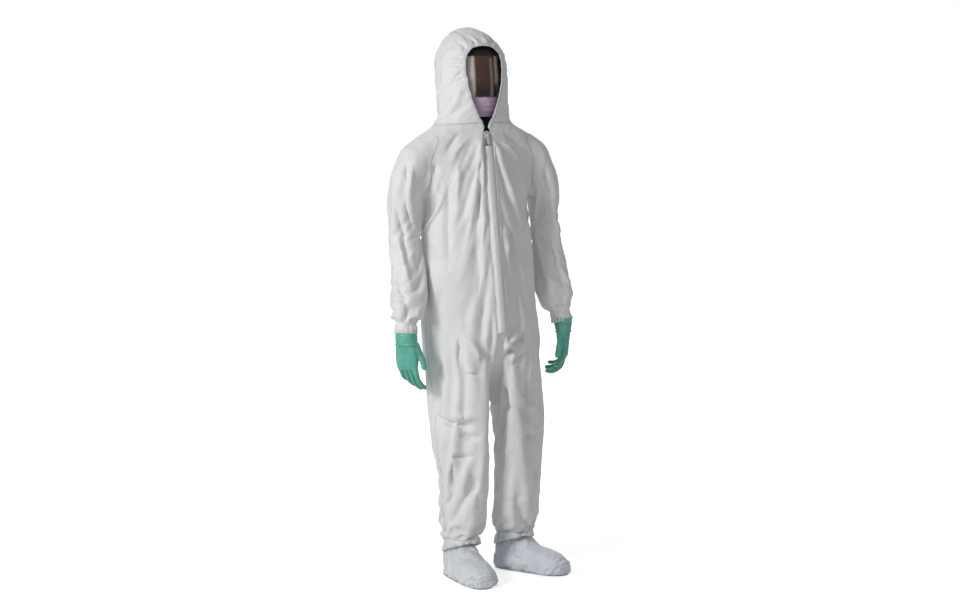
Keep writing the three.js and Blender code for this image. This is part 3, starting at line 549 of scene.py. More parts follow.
# in millimetres: points along each fold, how far it stands out (or in, below zero), and its half width
FOLDS = (
    # long drapes that fan down from the throat
    (((-22, -100, 1440), (-45, -110, 1300), (-75, -110, 1150), (-120, -100, 980)), 8, 12),
    (((-30, -100, 1370), (-45, -110, 1200), (-80, -120, 1000)), -5, 10),
    (((-20, -100, 1400), (-30, -110, 1200), (-45, -130, 1030), (-50, -140, 880)), 6.5, 9),
    (((-55, -120, 1100), (-70, -140, 980), (-75, -140, 860)), -6.5, 15),
    (((-100, -90, 1360), (-110, -90, 1220), (-130, -90, 1100)), 5, 12),
    (((-135, -80, 1300), (-145, -80, 1150), (-150, -90, 950)), -4.5, 13),
    (((22, -100, 1430), (45, -100, 1340), (80, -100, 1240), (140, -80, 1080)), 8, 11),
    (((28, -100, 1380), (55, -110, 1260), (100, -100, 1100)), -5.5, 10),
    (((35, -120, 1180), (45, -130, 1020), (45, -150, 880)), 6, 11),
    (((55, -120, 1150), (70, -130, 1000), (75, -140, 860)), -6, 13),
    (((130, -80, 1200), (150, -70, 1050), (160, -80, 920)), 4.5, 13),
    # over the shoulders and beside the armholes
    (((55, -100, 1450), (110, -80, 1420), (160, -60, 1390)), -5, 8),
    (((50, -100, 1430), (100, -90, 1380), (150, -80, 1320)), 4.5, 9),
    (((-85, -90, 1460), (-120, -90, 1420), (-150, -80, 1370)), -5.5, 8),
    (((-60, -100, 1440), (-100, -90, 1400), (-140, -90, 1330)), 4.5, 9),
    (((-170, -70, 1360), (-175, -70, 1310)), -5, 7),
    # sleeves
    (((-265, -50, 1380), (-290, -50, 1270), (-250, -60, 1160), (-220, -40, 1090)), -7.5, 9),
    (((-245, -60, 1360), (-262, -60, 1260), (-225, -50, 1160)), 5.5, 9),
    (((-305, -20, 1240), (-285, -60, 1100), (-250, -60, 980)), -7, 9),
    (((-300, -30, 1140), (-280, -70, 1000), (-260, -80, 910)), 6, 10),
    (((-315, -20, 1020), (-300, -70, 930), (-270, -80, 870)), -5.5, 8),
    (((220, -50, 1340), (250, -60, 1200), (260, -60, 1060)), -6, 10),
    (((240, -50, 1260), (280, -50, 1120), (300, -50, 1000)), 5.5, 10),
    (((230, -50, 1100), (260, -80, 1000), (290, -80, 900)), -7, 9),
    (((260, -80, 1040), (300, -70, 940), (310, -50, 880)), 5.5, 9),
    # from the crotch over each thigh
    (((-5, -140, 705), (60, -150, 765), (130, -130, 815)), -11.7, 9),
    (((0, -150, 735), (50, -155, 790), (110, -140, 845)), 7.8, 9),
    (((30, -140, 690), (80, -140, 725), (130, -130, 745)), -6.5, 8),
    (((-15, -140, 710), (-50, -150, 745), (-80, -150, 790)), -7.2, 9),
    (((-130, -110, 810), (-132, -110, 690)), -6.5, 6),
    (((-100, -130, 790), (-60, -130, 700)), 7.8, 9),
    (((-125, -120, 683), (-50, -130, 678)), -5.2, 5),
    # knees and shins
    (((20, -90, 640), (50, -110, 560), (100, -110, 515), (160, -80, 505)), -12.3, 10),
    (((45, -110, 610), (90, -120, 560), (160, -90, 545)), 8.4, 11),
    (((50, -100, 440), (100, -110, 447), (160, -80, 455)), -9.1, 8),
    (((75, -100, 400), (110, -100, 310), (85, -90, 220)), 7.8, 14),
    (((150, -70, 360), (150, -70, 240)), -6.5, 11),
    (((-185, -20, 545), (-165, -60, 522), (-120, -110, 512), (-70, -110, 515)), -11.7, 8),
    (((-160, -80, 552), (-120, -110, 540), (-60, -110, 540)), 8.4, 8),
    (((-140, -100, 480), (-90, -110, 470), (-50, -90, 485)), -6.5, 8),
    (((-165, -60, 410), (-120, -100, 405), (-70, -100, 420)), -8.4, 8),
    (((-150, -70, 400), (-150, -70, 270)), -7.2, 7),
    (((-115, -100, 385), (-130, -90, 310), (-105, -90, 215)), 7.8, 13),
    (((-70, -90, 360), (-80, -90, 230)), -5.9, 12),
    # the back: from the armpits, at the seat and behind the knees
    (((165, 80, 1310), (110, 115, 1250), (50, 120, 1220)), -5.5, 12),
    (((-165, 80, 1300), (-120, 110, 1230), (-60, 120, 1190)), -6, 12),
    (((50, 110, 1400), (70, 120, 1250), (80, 120, 1120)), 5, 15),
    (((-40, 110, 1380), (-50, 120, 1240), (-70, 110, 1120)), 5.5, 14),
    (((20, 110, 720), (90, 120, 745), (160, 90, 790)), -8, 11),
    (((-20, 110, 715), (-80, 120, 735), (-150, 100, 770)), -7.5, 11),
    (((50, 80, 500), (110, 80, 485), (170, 50, 500)), -7, 9),
    (((50, 80, 455), (110, 80, 440), (160, 50, 450)), -5.5, 9),
    (((-50, 80, 495), (-110, 80, 505), (-170, 50, 490)), -7, 9),
    (((-50, 80, 445), (-110, 80, 450), (-160, 50, 435)), -5.5, 9),
)


def folds(co):
    """The larger folds that the wearer's stance puts into the suit."""
    out = np.zeros(len(co))
    for points, height, width in FOLDS:
        height, width = height / 1000, width / 1000
        line = resampled(np.array(points) / 1000, FOLD_STEP, closed=False)
        middle, reach = line.mean(0), 3 * width + np.ptp(line, axis=0) / 2 + 0.02
        near = np.flatnonzero(np.all(np.abs(co - middle) < reach, axis=1))
        if len(near) == 0:
            continue
        local = co[near]
        on_cloth = local[np.argmin(np.linalg.norm(line[:, None] - local[None], axis=2), axis=1)]
        on_cloth = smooth_line(on_cloth, 12, closed=False)
        gaps = np.linalg.norm(local[:, None] - on_cloth[None], axis=2)
        at = np.argmin(gaps, 1) / (len(line) - 1)
        start = min(0.40, 0.045 / (FOLD_STEP * len(line)))
        taper = smoothstep(0.0, start, at) * (1 - smoothstep(0.45, 1.0, at))
        wide = width * (0.75 + 0.8 * at)
        out[near] += FOLD_DEPTH * height * taper * np.exp(-(np.min(gaps, 1) / wide) ** 1.6)
    return out


def crinkles(rest):
    """The papery unevenness of the non-woven cloth."""
    broad = ripple(rest, 9, 5.0)
    fine = 1 - 2 * np.abs(ripple(rest, 26, 11.0))
    sharp = 1 - 2 * np.abs(ripple(rest, 7, 3.0))
    return 0.0018 * broad + 0.0026 * sharp + 0.0009 * fine


def boundary_loops(obj):
    """The open edges of a mesh as rings of vertex numbers in order."""
    edges = {}
    for polygon in obj.data.polygons:
        ids = list(polygon.vertices)
        for a, b in zip(ids, ids[1:] + ids[:1]):
            key = (min(a, b), max(a, b))
            edges[key] = edges.get(key, 0) + 1
    links = {}
    for (a, b), uses in edges.items():
        if uses == 1:
            links.setdefault(a, []).append(b)
            links.setdefault(b, []).append(a)
    loops, seen = [], set()
    for start in sorted(links):
        if start in seen:
            continue
        loop = [start]
        seen.add(start)
        while True:
            ahead = [v for v in links[loop[-1]] if v not in seen]
            if not ahead:
                break
            loop.append(ahead[0])
            seen.add(ahead[0])
        if len(loop) > 8:
            loops.append(loop)
    return loops


def resampled(points, step, closed=True):
    """Evenly spaced points along a line of points, which may carry more than three numbers each."""
    line = np.concatenate([points, points[:1]]) if closed else points
    length = np.concatenate([[0], np.cumsum(np.linalg.norm(np.diff(line[:, :3], axis=0), axis=1))])
    count = max(8, int(length[-1] / step))
    at = np.linspace(0, length[-1], count, endpoint=not closed)
    return np.stack([np.interp(at, length, line[:, k]) for k in range(line.shape[1])], 1)


def smooth_line(values, rounds, closed=True):
    values = values.copy()
    for _ in range(rounds):
        before, after = np.roll(values, 1, 0), np.roll(values, -1, 0)
        if not closed:
            before[0], after[-1] = values[0], values[-1]
        values = values * 0.5 + (before + after) * 0.25
    return values


def unit(v):
    return v / np.maximum(np.linalg.norm(v, axis=-1, keepdims=True), 1e-12)


def hem_band(name, edge, outward, inward, width, thick, gather, closed=True):
    """A folded hem with elastic in it: a soft flat tube along an edge of the cloth, with small gathers."""
    line = resampled(np.concatenate([edge, outward, inward], 1), 0.0022, closed)
    line = smooth_line(line, 3, closed)
    point, out, away = line[:, :3], unit(line[:, 3:6]), line[:, 6:9]
    step = np.roll(point, -1, 0) - np.roll(point, 1, 0) if closed else np.gradient(point, axis=0)
    along = unit(step)
    out = unit(out - along * np.sum(out * along, 1, keepdims=True))
    away = away - along * np.sum(away * along, 1, keepdims=True)
    away = unit(away - out * np.sum(away * out, 1, keepdims=True))
    sides = 14
    verts = []
    for k, p in enumerate(point):
        pucker = math.sin(k * 2.0 + 2.5 * noise.noise(Vector(p) * 60)) * gather
        lift = 0.6 * pucker
        t = full_turn(sides)[:, None]
        flat = powered(np.cos(t), 0.6)
        middle = p + away[k] * (width / 2 - 0.001) + out[k] * (lift - 0.0004)
        plump = thick / 2 + 0.4 * abs(pucker)
        verts.append(middle + away[k] * flat * width / 2 + out[k] * np.sin(t) * plump)
    faces = tube_faces(len(point), sides, caps=not closed)
    if closed:
        last = (len(point) - 1) * sides
        faces += [(last + i, last + (i + 1) % sides, (i + 1) % sides, i) for i in range(sides)]
    return new_object(name, np.concatenate(verts), faces)


def edge_frames(obj, loop, normals, links):
    """Position, outward direction and direction into the cloth at each point of an open edge."""
    co = points_of(obj)
    ring_ids = set(loop)
    inward = []
    for v in loop:
        inner = [u for u in links[v] if u not in ring_ids]
        inward.append(np.mean([co[u] for u in inner], 0) - co[v] if inner else np.zeros(3))
    return co[loop], normals[loop], unit(smooth_line(np.array(inward), 4))


def neighbours(obj):
    links = {}
    for edge in obj.data.edges:
        a, b = edge.vertices
        links.setdefault(a, []).append(b)
        links.setdefault(b, []).append(a)
    return links


def thick_piece(name, co, normals, rest, faces, thick):
    """A sheet with real thickness, shaded as the whole cloth is, so that its joins show no line."""
    used = np.unique(np.concatenate([np.array(f) for f in faces]))
    renumber = np.full(len(co), -1)
    renumber[used] = np.arange(len(used))
    count = len(used)
    outer = [tuple(int(renumber[i]) for i in f) for f in faces]
    inner = [tuple(i + count for i in f)[::-1] for f in outer]
    uses = {}
    for f in outer:
        for a, b in zip(f, f[1:] + f[:1]):
            uses[(a, b)] = True
    rim = [(b, a, a + count, b + count) for a, b in uses if (b, a) not in uses]
    both_sides = np.concatenate([co[used], co[used] - normals[used] * thick])
    piece = new_object(name, both_sides, outer + inner + rim)
    store_rest(piece, np.concatenate([rest[used], rest[used]]))
    piece.data.shade_smooth()
    both = np.concatenate([normals[used], -normals[used]])
    piece.data.normals_split_custom_set_from_vertices([tuple(v) for v in both])
    return piece


def piece_names(rest):
    """Which piece each rest position belongs to."""
    x, z = rest[:, 0], rest[:, 2]
    ax = np.abs(x)
    side = np.where(x > 0, "left", "right")
    sleeve = is_sleeve(rest)
    names = np.full(len(rest), "torso_cloth", dtype="<U32")

    def name(mask, stem, sided=True):
        names[mask] = np.char.add(stem + "_", side[mask]) if sided else stem

    name(z > NECK_SPLITS[0], "collar_low", False)
    name(z > NECK_SPLITS[1], "collar_high", False)
    name(z > NECK_SPLITS[2], "hood_cloth", False)
    name((ax > TORSO_END_X) & (z > ARMPIT_Z) & (z < NECK_SPLITS[0]), "shoulder_cloth")
    name(sleeve & (z > ARM_SPLITS[0]), "shoulder_cloth")
    name(sleeve & (z <= ARM_SPLITS[0]), "elbow_cloth")
    name(sleeve & (z <= ARM_SPLITS[1]), "forearm_cloth")
    name(~sleeve & (z < HIP_SPLIT_Z), "hip_cloth")
    name(~sleeve & (z < LEG_SPLITS[0]), "knee_cloth")
    name(~sleeve & (z < LEG_SPLITS[1]), "shin_cloth")
    return names


def split_cloth(obj, normals):
    co, rest = points_of(obj), rest_of(obj)
    polygons = faces_of(obj)
    middle = np.array([rest[list(p)].mean(0) for p in polygons])
    names = piece_names(middle)
    pieces = {}
    for name in sorted(set(names)):
        faces = [polygons[i] for i in np.flatnonzero(names == name)]
        pieces[name] = thick_piece(name, co, normals, rest, faces, CLOTH_THICK)
    bpy.data.objects.remove(obj)
    return pieces


# ================================================================ zip and storm flap
ZIP_LINE = unit(np.array(ZIP_BOTTOM) - np.array(ZIP_TOP))
ZIP_OUT = np.array((0.0, ZIP_LINE[2], -ZIP_LINE[1]))
ZIP_LENGTH = float(np.linalg.norm(np.array(ZIP_BOTTOM) - np.array(ZIP_TOP)))


def on_zip(x, down, out=0.0):
    """A point given from the top of the zip: across, down the zip and out in front of it."""
    return np.array(ZIP_TOP) + np.array((x, 0, 0)) + ZIP_LINE * down + ZIP_OUT * out


def thick_sheet(name, co, faces, thick):
    sheet = new_object(name, co, faces)
    co, normals = points_of(sheet), normals_of(sheet)
    bpy.data.objects.remove(sheet)
    return thick_piece(name, co, normals, co, faces, thick)


def strip(name, rows, thick):
    """A sheet through rows of points, with its thickness behind it."""
    rows = np.array(rows)
    count, width = rows.shape[:2]
    return thick_sheet(name, rows.reshape(-1, 3), tube_faces(count, width, closed=False, caps=False), thick)


def zip_tape(side, sign):
    rows = []
    for down in np.arange(0.002, ZIP_LENGTH - 0.002, 0.005):
        rows.append([on_zip(sign * x, down, -0.0016) for x in np.linspace(0.0026, 0.021, 6)])
    if sign < 0:
        rows = [row[::-1] for row in rows]
    return strip(f"tape_{side}", rows, 0.0007)


def zip_coil(side, sign):
    """A row of small looped teeth."""
    pitch, sides = 0.0025, 6
    verts, faces = [], []
    t = full_turn(sides)[:, None]
    for k in range(int((ZIP_LENGTH - 0.012) / pitch)):
        down = 0.006 + pitch * (k + (0.25 if sign > 0 else 0.75))
        loop = []
        for a in np.linspace(-0.42 * np.pi, 1.42 * np.pi, 7):
            x = 0.0014 - 0.0016 * math.cos(a + np.pi / 2)
            loop.append((sign * x, down, 0.0002 + 0.0009 * math.sin(a)))
        start = len(verts)
        for x, at, out in loop:
            centre = on_zip(x, at, out)
            verts.extend(centre + ZIP_LINE * 0.0005 * np.cos(t) + ZIP_OUT * 0.0005 * np.sin(t))
        faces += [tuple(start + i for i in f) for f in tube_faces(len(loop), sides)]
    return new_object(f"coil_{side}", np.array(verts), faces)


FLAP_TOP, FLAP_BOTTOM = 0.050, ZIP_LENGTH + 0.004
FLAP_HALF, FLAP_RISE, FLAP_RIDGE = 0.021, 0.0088, 0.0125


def flap_rows(cloth, lift, x_from, x_to, across):
    """Rows of points bowed over the zip, lying on the cloth at both edges."""
    tree = surface_of(cloth)
    rows = []
    for down in np.arange(FLAP_TOP, FLAP_BOTTOM, 0.0045):
        row = []
        sway = 0.0012 * noise.noise((down * 14, 0, 3))
        left = FLAP_BOTTOM - down
        ease_end = min(1.0, 0.75 + left / 0.080)
        narrow = math.sqrt(min(1.0, left / 0.018 + 0.6))
        for x in np.linspace(x_from, x_to, across) * narrow:
            lie = 0.0004 + 0.0020 * min(1.0, max(0.0, x / FLAP_HALF))
            bow = math.exp(-(x / FLAP_RIDGE) ** 4) * ease_end
            ripple_here = 0.0006 * noise.noise((x * 60, down * 25, 0))
            out = 0.0006 + FLAP_RISE * bow + ripple_here + (sway * 0.4 if x > 0.01 else 0)
            point = on_zip(x, down, out + 0.02)
            hit = tree.ray_cast(Vector(point), Vector(-ZIP_OUT))
            if hit[0] is not None and abs(x) > 0.015:
                out = max(out, float(np.dot(np.array(hit[0]) - on_zip(x, down), ZIP_OUT)) + lie)
            row.append(on_zip(x, down, out - lift))
        rows.append(row)
    return rows


def surface_of(obj):
    mesh = bmesh.new()
    mesh.from_mesh(obj.data)
    tree = BVHTree.FromBMesh(mesh)
    mesh.free()
    return tree


def storm_flap(cloth):
    return strip("storm_flap_cloth", flap_rows(cloth, 0, -FLAP_HALF, FLAP_HALF, 23), 0.0010)


def adhesive_strip(cloth):
    rows = flap_rows(cloth, 0.0012, 0.0135, 0.0215, 5)[2:-2]
    return strip("adhesive_strip", rows, 0.0003)


# ================================================================ what is worn under the hood
# y, z, half width, front, back
HEAD = ((0.006, 1.436, 0.082, 0.078, 0.088), (0.007, 1.465, 0.079, 0.072, 0.084),
        (0.008, 1.492, 0.078, 0.070, 0.084), (0.006, 1.545, 0.080, 0.084, 0.090),
        (0.006, 1.620, 0.084, 0.090, 0.098), (0.008, 1.690, 0.082, 0.088, 0.098),
        (0.012, 1.735, 0.062, 0.068, 0.078), (0.016, 1.756, 0.030, 0.032, 0.042))


def head_point(angle, z, out=0.0):
    """A point round the head. The angle is 0 at the face and grows towards the wearer's left."""
    y, rx, front, back = section(HEAD, 1, z, 0, 2, 3, 4)
    power = 2 / 2.1
    s, c = math.sin(angle), math.cos(angle)
    reach = front if c > 0 else back
    return np.array(((rx + out) * math.copysign(abs(s) ** power, s),
                     y - (reach + out) * math.copysign(abs(c) ** power, c), z))


def head_strip(name, half_angle, heights, out, thick, across=48):
    """A band round the front of the head. out is a number or a function of (share across, height)."""
    rows = []
    for z in heights:
        row = []
        for share in np.linspace(-1, 1, across):
            lift = out(share, z) if callable(out) else out
            row.append(head_point(share * half_angle, z, lift))
        rows.append(row)
    return strip(name, rows, thick)


def inner_hood():
    """The black knitted hood, open at the eyes, with small unevenness. Its near-black is also painted shade,
    standing in for the shade deep inside the suit's hood.
    """
    rows, across, sag = [], 96, 0.0014
    levels = np.linspace(HEAD[0][1], HEAD[-1][1], 76)
    for z in levels:
        rows.append([head_point(a, z, sag * noise.noise((math.sin(a) * 4, math.cos(a) * 4, z * 30)))
                     for a in full_turn(across)])
    co = np.array(rows).reshape(-1, 3)

    def at_the_eyes(face):
        x, y, z = (co[face[0]] + co[face[2]]) / 2
        return y < 0 and abs(x) < 0.055 and 1.618 < z < 1.691

    *walls, _, crown = tube_faces(len(levels), across)
    faces = [face for face in walls if not at_the_eyes(face)]
    return thick_sheet("inner_hood_knit", co, faces + [crown], 0.0016)


VISOR_BOTTOM, VISOR_TOP = 1.563, 1.698


def visor():
    corner = 0.020

    def heights_at(share):
        """The lower corners are rounded."""
        near_end = max(0.0, abs(share) - 0.86) / 0.14
        return VISOR_BOTTOM + corner * (1 - math.sqrt(max(0.0, 1 - near_end ** 2)))

    rows = []
    for t in np.linspace(0, 1, 30):
        row = []
        for share in np.linspace(-1, 1, 72):
            low = heights_at(share)
            z = low + (VISOR_TOP - low) * t
            row.append(head_point(share * VISOR_ANGLE, z, 0.0082 + 0.002 * (1 - t)))
        rows.append(row)
    return strip("visor", rows, 0.0012)


VISOR_ANGLE = 1.08


def brow_band():
    def bulge(share, z):
        return 0.0098 + 0.0016 * math.sin(math.pi * np.clip((z - 1.694) / 0.028, 0, 1))
    return head_strip("brow_band_shell", VISOR_ANGLE, np.linspace(1.694, 1.722, 9), bulge, 0.0028)


MASK_TOP, MASK_BOTTOM = 1.572, 1.500


def mask():
    """Three downward pleats. The cloth steps out over each fold."""
    def pleats(share, z):
        place = (MASK_TOP - 0.010 - z) / 0.0155
        step = (place % 1.0) if 0 < place < 3 else 0.0
        puff = 0.004 * (1 - share ** 2)
        crumple = 0.0010 * noise.noise((share * 6, z * 120, 2))
        return 0.0022 + 0.0024 * step ** 0.7 * (1 - share ** 8) + puff + crumple
    return head_strip("mask_cloth", 0.88, np.linspace(MASK_BOTTOM, MASK_TOP, 60), pleats, 0.0011, 60)


def mask_clip():
    def over(share, z):
        return 0.0022 + 0.004 * (1 - (share * 0.55) ** 2) + 0.0009
    heights = np.linspace(MASK_TOP - 0.0085, MASK_TOP - 0.0045, 5)
    return head_strip("mask_clip", 0.52, heights, over, 0.0007, 36)


def ear_loop(side, sign):
    """A thin cord from the top corner of the mask round the ear to the lower corner."""
    path = []
    for share in np.linspace(0, 1, 30):
        angle = 0.87 + 0.72 * math.sin(math.pi * share)
        z = MASK_TOP - 0.004 + (MASK_BOTTOM - MASK_TOP + 0.008) * share
        path.append(head_point(sign * angle, z, 0.0022))
    rings = sweep(path, [(0.0013, 0.0013)] * len(path), 8, side=(0, 0, 1))
    return loft_object(f"ear_loop_{side}", rings)


# ================================================================ gloves
# z, half width, half thickness of the palm; the fingers point down, the thumb is at +X and the palm at +Y
PALM = ((-0.110, 0.037, 0.0125), (-0.098, 0.0415, 0.0145), (-0.080, 0.0435, 0.0165),
        (-0.060, 0.0430, 0.0195), (-0.040, 0.0400, 0.0220), (-0.022, 0.0365, 0.0245),
        (-0.005, 0.0350, 0.0280), (0.006, 0.0345, 0.0300), (0.024, 0.0335, 0.0310))
# x at the knuckle, bone lengths, radius
FINGERS = ((0.0300, (0.038, 0.025, 0.017), 0.0094), (0.0105, (0.042, 0.028, 0.018), 0.0098),
           (-0.0095, (0.039, 0.026, 0.018), 0.0093), (-0.0285, (0.031, 0.020, 0.016), 0.0082))
# how far each bone leans towards the palm, in degrees, and how much each finger adds to that
FINGER_LEAN = {"left": (26, 62, 88), "right": (20, 46, 62)}
FINGER_EXTRA = (-8, -2, 4, 9)
THUMB = ((0.024, 0.004, -0.028), (0.040, 0.010, -0.052), (0.050, 0.016, -0.078), (0.052, 0.022, -0.104))
HAND_TURN = {"left": 62, "right": -62}
GLOVE_VOXEL = 0.0016
GLOVE_END = 0.018


def finger_path(x, lengths, lean, extra, spread):
    points = [np.array((x * 0.97, 0.001, -0.088)), np.array((x, 0.0, -0.104))]
    for length, degrees in zip(lengths, lean):
        a = math.radians(degrees + extra)
        sideways = math.sin(math.radians(spread))
        points.append(points[-1] + length * unit(np.array((sideways, math.sin(a), -math.cos(a)))))
    return points


def digit(points, radius):
    """A finger along its bones: slightly thicker at each joint, with a rounded tip."""
    fine = smooth_line(resampled(np.array(points), 0.003, closed=False), 3, closed=False)
    path = list(fine)
    radii = [radius * (1.06 - 0.28 * share) for share in np.arange(len(fine)) / (len(fine) - 1)]
    end = unit(fine[-1] - fine[-2])
    for reach, keep in ((0.45, 0.86), (0.75, 0.62), (0.92, 0.30)):
        path.append(fine[-1] + end * radius * reach * 0.85)
        radii.append(radius * 0.78 * keep)
    return loft_object("digit", sweep(path, [(r, r) for r in radii], 16))


def hand_volume(side):
    rings = []
    for z in np.linspace(PALM[0][0], PALM[-1][0], 26):
        rx, ry = section(PALM, 0, z, 1, 2)
        rings.append(ring(0, 0, z, rx, ry, ry, 2.4, 36))
    parts = [loft_object("palm", rings)]
    for number, (x, lengths, radius) in enumerate(FINGERS):
        spread = (6, 2, -2, -6)[number] * (0.6 if side == "left" else 1.0)
        bones = finger_path(x, lengths, FINGER_LEAN[side], FINGER_EXTRA[number], spread)
        parts.append(digit(bones, radius))
    parts.append(digit([np.array(p) for p in THUMB], 0.0118))
    thenar = [np.array(p) for p in ((0.014, 0.004, -0.012), (0.027, 0.009, -0.034), (0.037, 0.011, -0.052))]
    parts.append(loft_object("thenar", sweep(thenar, [(0.013, 0.012), (0.017, 0.015), (0.013, 0.012)], 16)))
    return join_meshes("hand", parts)


def turned(co, degrees, mirrored=False):
    """Points or directions turned about the upright axis, and mirrored left to right first if asked."""
    turn = np.array(Matrix.Rotation(math.radians(degrees), 3, "Z"))
    return (co * (-1, 1, 1) if mirrored else co) @ turn.T


def to_hand(co, side, sign):
    return turned(co, HAND_TURN[side], sign > 0) + np.array(WRIST) * (sign, 1, 1)


def cut_top(mesh, height, tolerance):
    """Drops everything above a height."""
    geom = mesh.verts[:] + mesh.edges[:] + mesh.faces[:]
    bmesh.ops.bisect_plane(mesh, geom=geom, dist=tolerance, plane_co=(0, 0, height), plane_no=(0, 0, 1),
                           clear_outer=True)


def glove_wrinkles(co):
    """Creases of the thin rubber: rings at the wrist, across the finger joints and over the knuckles."""
    z = co[:, 2]
    wrist = np.exp(-((z + 0.012) / 0.022) ** 2) * np.sin(z * 620 + 3 * ripple(co, 40))
    loose = ripple(co, 55) * smoothstep(-0.10, -0.03, z) * 0.5
    bends = 1 - np.abs(ripple(co * (0.5, 1, 1.4), 75, 4.0))
    fingers = smoothstep(-0.095, -0.125, z)
    return 0.00055 * wrist + 0.0008 * loose + 0.0007 * (bends - 0.6) * (0.35 + 0.65 * fingers)


def glove(side, sign):
    """One moulded glove: open at the wrist, and thin."""
    hand = remeshed(hand_volume(side), GLOVE_VOXEL, 5)
    co, no = points_of(hand), normals_of(hand)
    set_points(hand, co + no * glove_wrinkles(co)[:, None])
    relax(hand, 1, 0.3)
    with opened(hand) as mesh:
        cut_top(mesh, GLOVE_END, 1e-6)
    co = points_of(hand)
    normals = turned(normals_of(hand), HAND_TURN[side], sign > 0)
    faces = [face[::-1] if sign > 0 else face for face in faces_of(hand)]
    bpy.data.objects.remove(hand)
    return thick_piece(f"glove_skin_{side}", to_hand(co, side, sign), normals, co, faces, 0.0006)


# height and how far out of the hand, at the rolled bead
CUFF_BEAD = ((-0.0275, 0.0030), (-0.0290, 0.0034), (-0.0305, 0.0028), (-0.0312, 0.0012))


def glove_cuff(side, sign):
    """The glove's turned-back edge: a doubled band with a rolled bead along its lower end."""
    count = 72

    def level(z, out):
        rx, ry = section(PALM, 0, z, 1, 2)
        return ring(0, 0, z, rx + out, ry + out, None, 2.4, count)

    band = [(z, 0.0014 + 0.0006 * noise.noise((z * 90, 0, 7))) for z in np.linspace(-0.001, -0.026, 9)]
    rings = []
    for z, out in (*band, *CUFF_BEAD):
        line = level(z, out)
        uneven = np.array([[0.0005 * noise.noise((p[0] * 90, p[1] * 90, z * 200))] for p in line])
        rings.append(line + unit(line * (1, 1, 0)) * uneven)
    rings += [level(z, -0.0003) for z in (CUFF_BEAD[-1][0], 0.0)]
    co = np.concatenate(rings)
    faces = []
    for k in range(len(rings)):
        n = (k + 1) % len(rings)
        for i in range(count):
            j = (i + 1) % count
            faces.append((k * count + i, n * count + i, n * count + j, k * count + j))
    if sign < 0:
        faces = [f[::-1] for f in faces]
    piece = new_object(f"glove_cuff_band_{side}", to_hand(co, side, sign), faces)
    store_rest(piece, co)
    return smooth(piece)


# ================================================================ boot covers
SPLAY = {"left": 24, "right": 3}
# y, half width, top height of the foot inside the cover; the toe is at -Y
FOOT = ((0.062, 0.030, 0.060), (0.050, 0.043, 0.100), (0.025, 0.050, 0.128), (-0.020, 0.052, 0.132),
        (-0.060, 0.052, 0.112), (-0.100, 0.054, 0.090), (-0.140, 0.059, 0.080), (-0.175, 0.059, 0.073),
        (-0.202, 0.052, 0.064), (-0.218, 0.039, 0.050), (-0.226, 0.021, 0.033))
FOOT_WIDEST_Z = 0.022
SOLE_LIFT = 0.0015
BOOT_THICK = 0.0010
BOOT_TOP = 0.136
BOOT_EDGE = 0.0050


def foot_volume(name, inset=0.0):
    """A foot and the start of the shin, drawn in from the cover's own size by the inset."""
    rings, count = [], 28
    t = full_turn(count)
    for y, half, top in FOOT:
        x = (half - inset) * np.sign(np.cos(t)) * np.abs(np.cos(t)) ** 0.8
        above = (top - inset - FOOT_WIDEST_Z) * np.abs(np.sin(t)) ** 0.85
        beneath = -(0.020 - inset * 0.4) * np.abs(np.sin(t)) ** 0.5
        y_in = y - math.copysign(min(inset, abs(y) * 0.3), y)
        z = FOOT_WIDEST_Z + np.where(np.sin(t) > 0, above, beneath)
        rings.append(np.stack([x, np.full(count, y_in), z], 1))
    foot = loft_object("foot", rings)
    shaft = loft_object("shaft", [ring(0, -0.002, z, 0.046 - inset, 0.050 - inset, 0.054 - inset, 2.2, 32)
                                  for z in (0.050, 0.090, 0.120, BOOT_TOP + 0.012)])
    return join_meshes(name, [foot, shaft])


def boot_cover():
    """One crumpled cover, made round the foot and then turned to each side."""
    cover = remeshed(foot_volume("cover"), BOOT_EDGE, 4)
    with opened(cover) as mesh:
        cut_top(mesh, BOOT_TOP, 1e-5)
        at_the_top = [v for v in mesh.verts if v.co.z > BOOT_TOP - 0.006]
        bmesh.ops.remove_doubles(mesh, verts=at_the_top, dist=BOOT_EDGE * 0.3)
    return cover


def collider(obj, thickness, friction):
    """Makes an object a thing that cloth rests on."""
    obj.modifiers.new("collision", "COLLISION")
    obj.collision.thickness_outer = thickness
    obj.collision.cloth_friction = friction
    return obj


def drape_boot(cover, growth):
    """Lets the cover settle round a foot that is a little smaller, held at the sole and at its top."""
    foot = collider(remeshed(foot_volume("foot_inside", 0.007), 0.008, 3), 0.001, 15)
    co = points_of(cover)
    hold = np.clip((0.010 - co[:, 2]) / 0.005, 0, 1)
    hold = np.maximum(hold, np.clip((co[:, 2] - BOOT_TOP + 0.009) / 0.006, 0, 1))
    drape(cover, 26, growth, 1.2, hold, np.zeros(len(co)))
    bpy.data.objects.remove(foot)


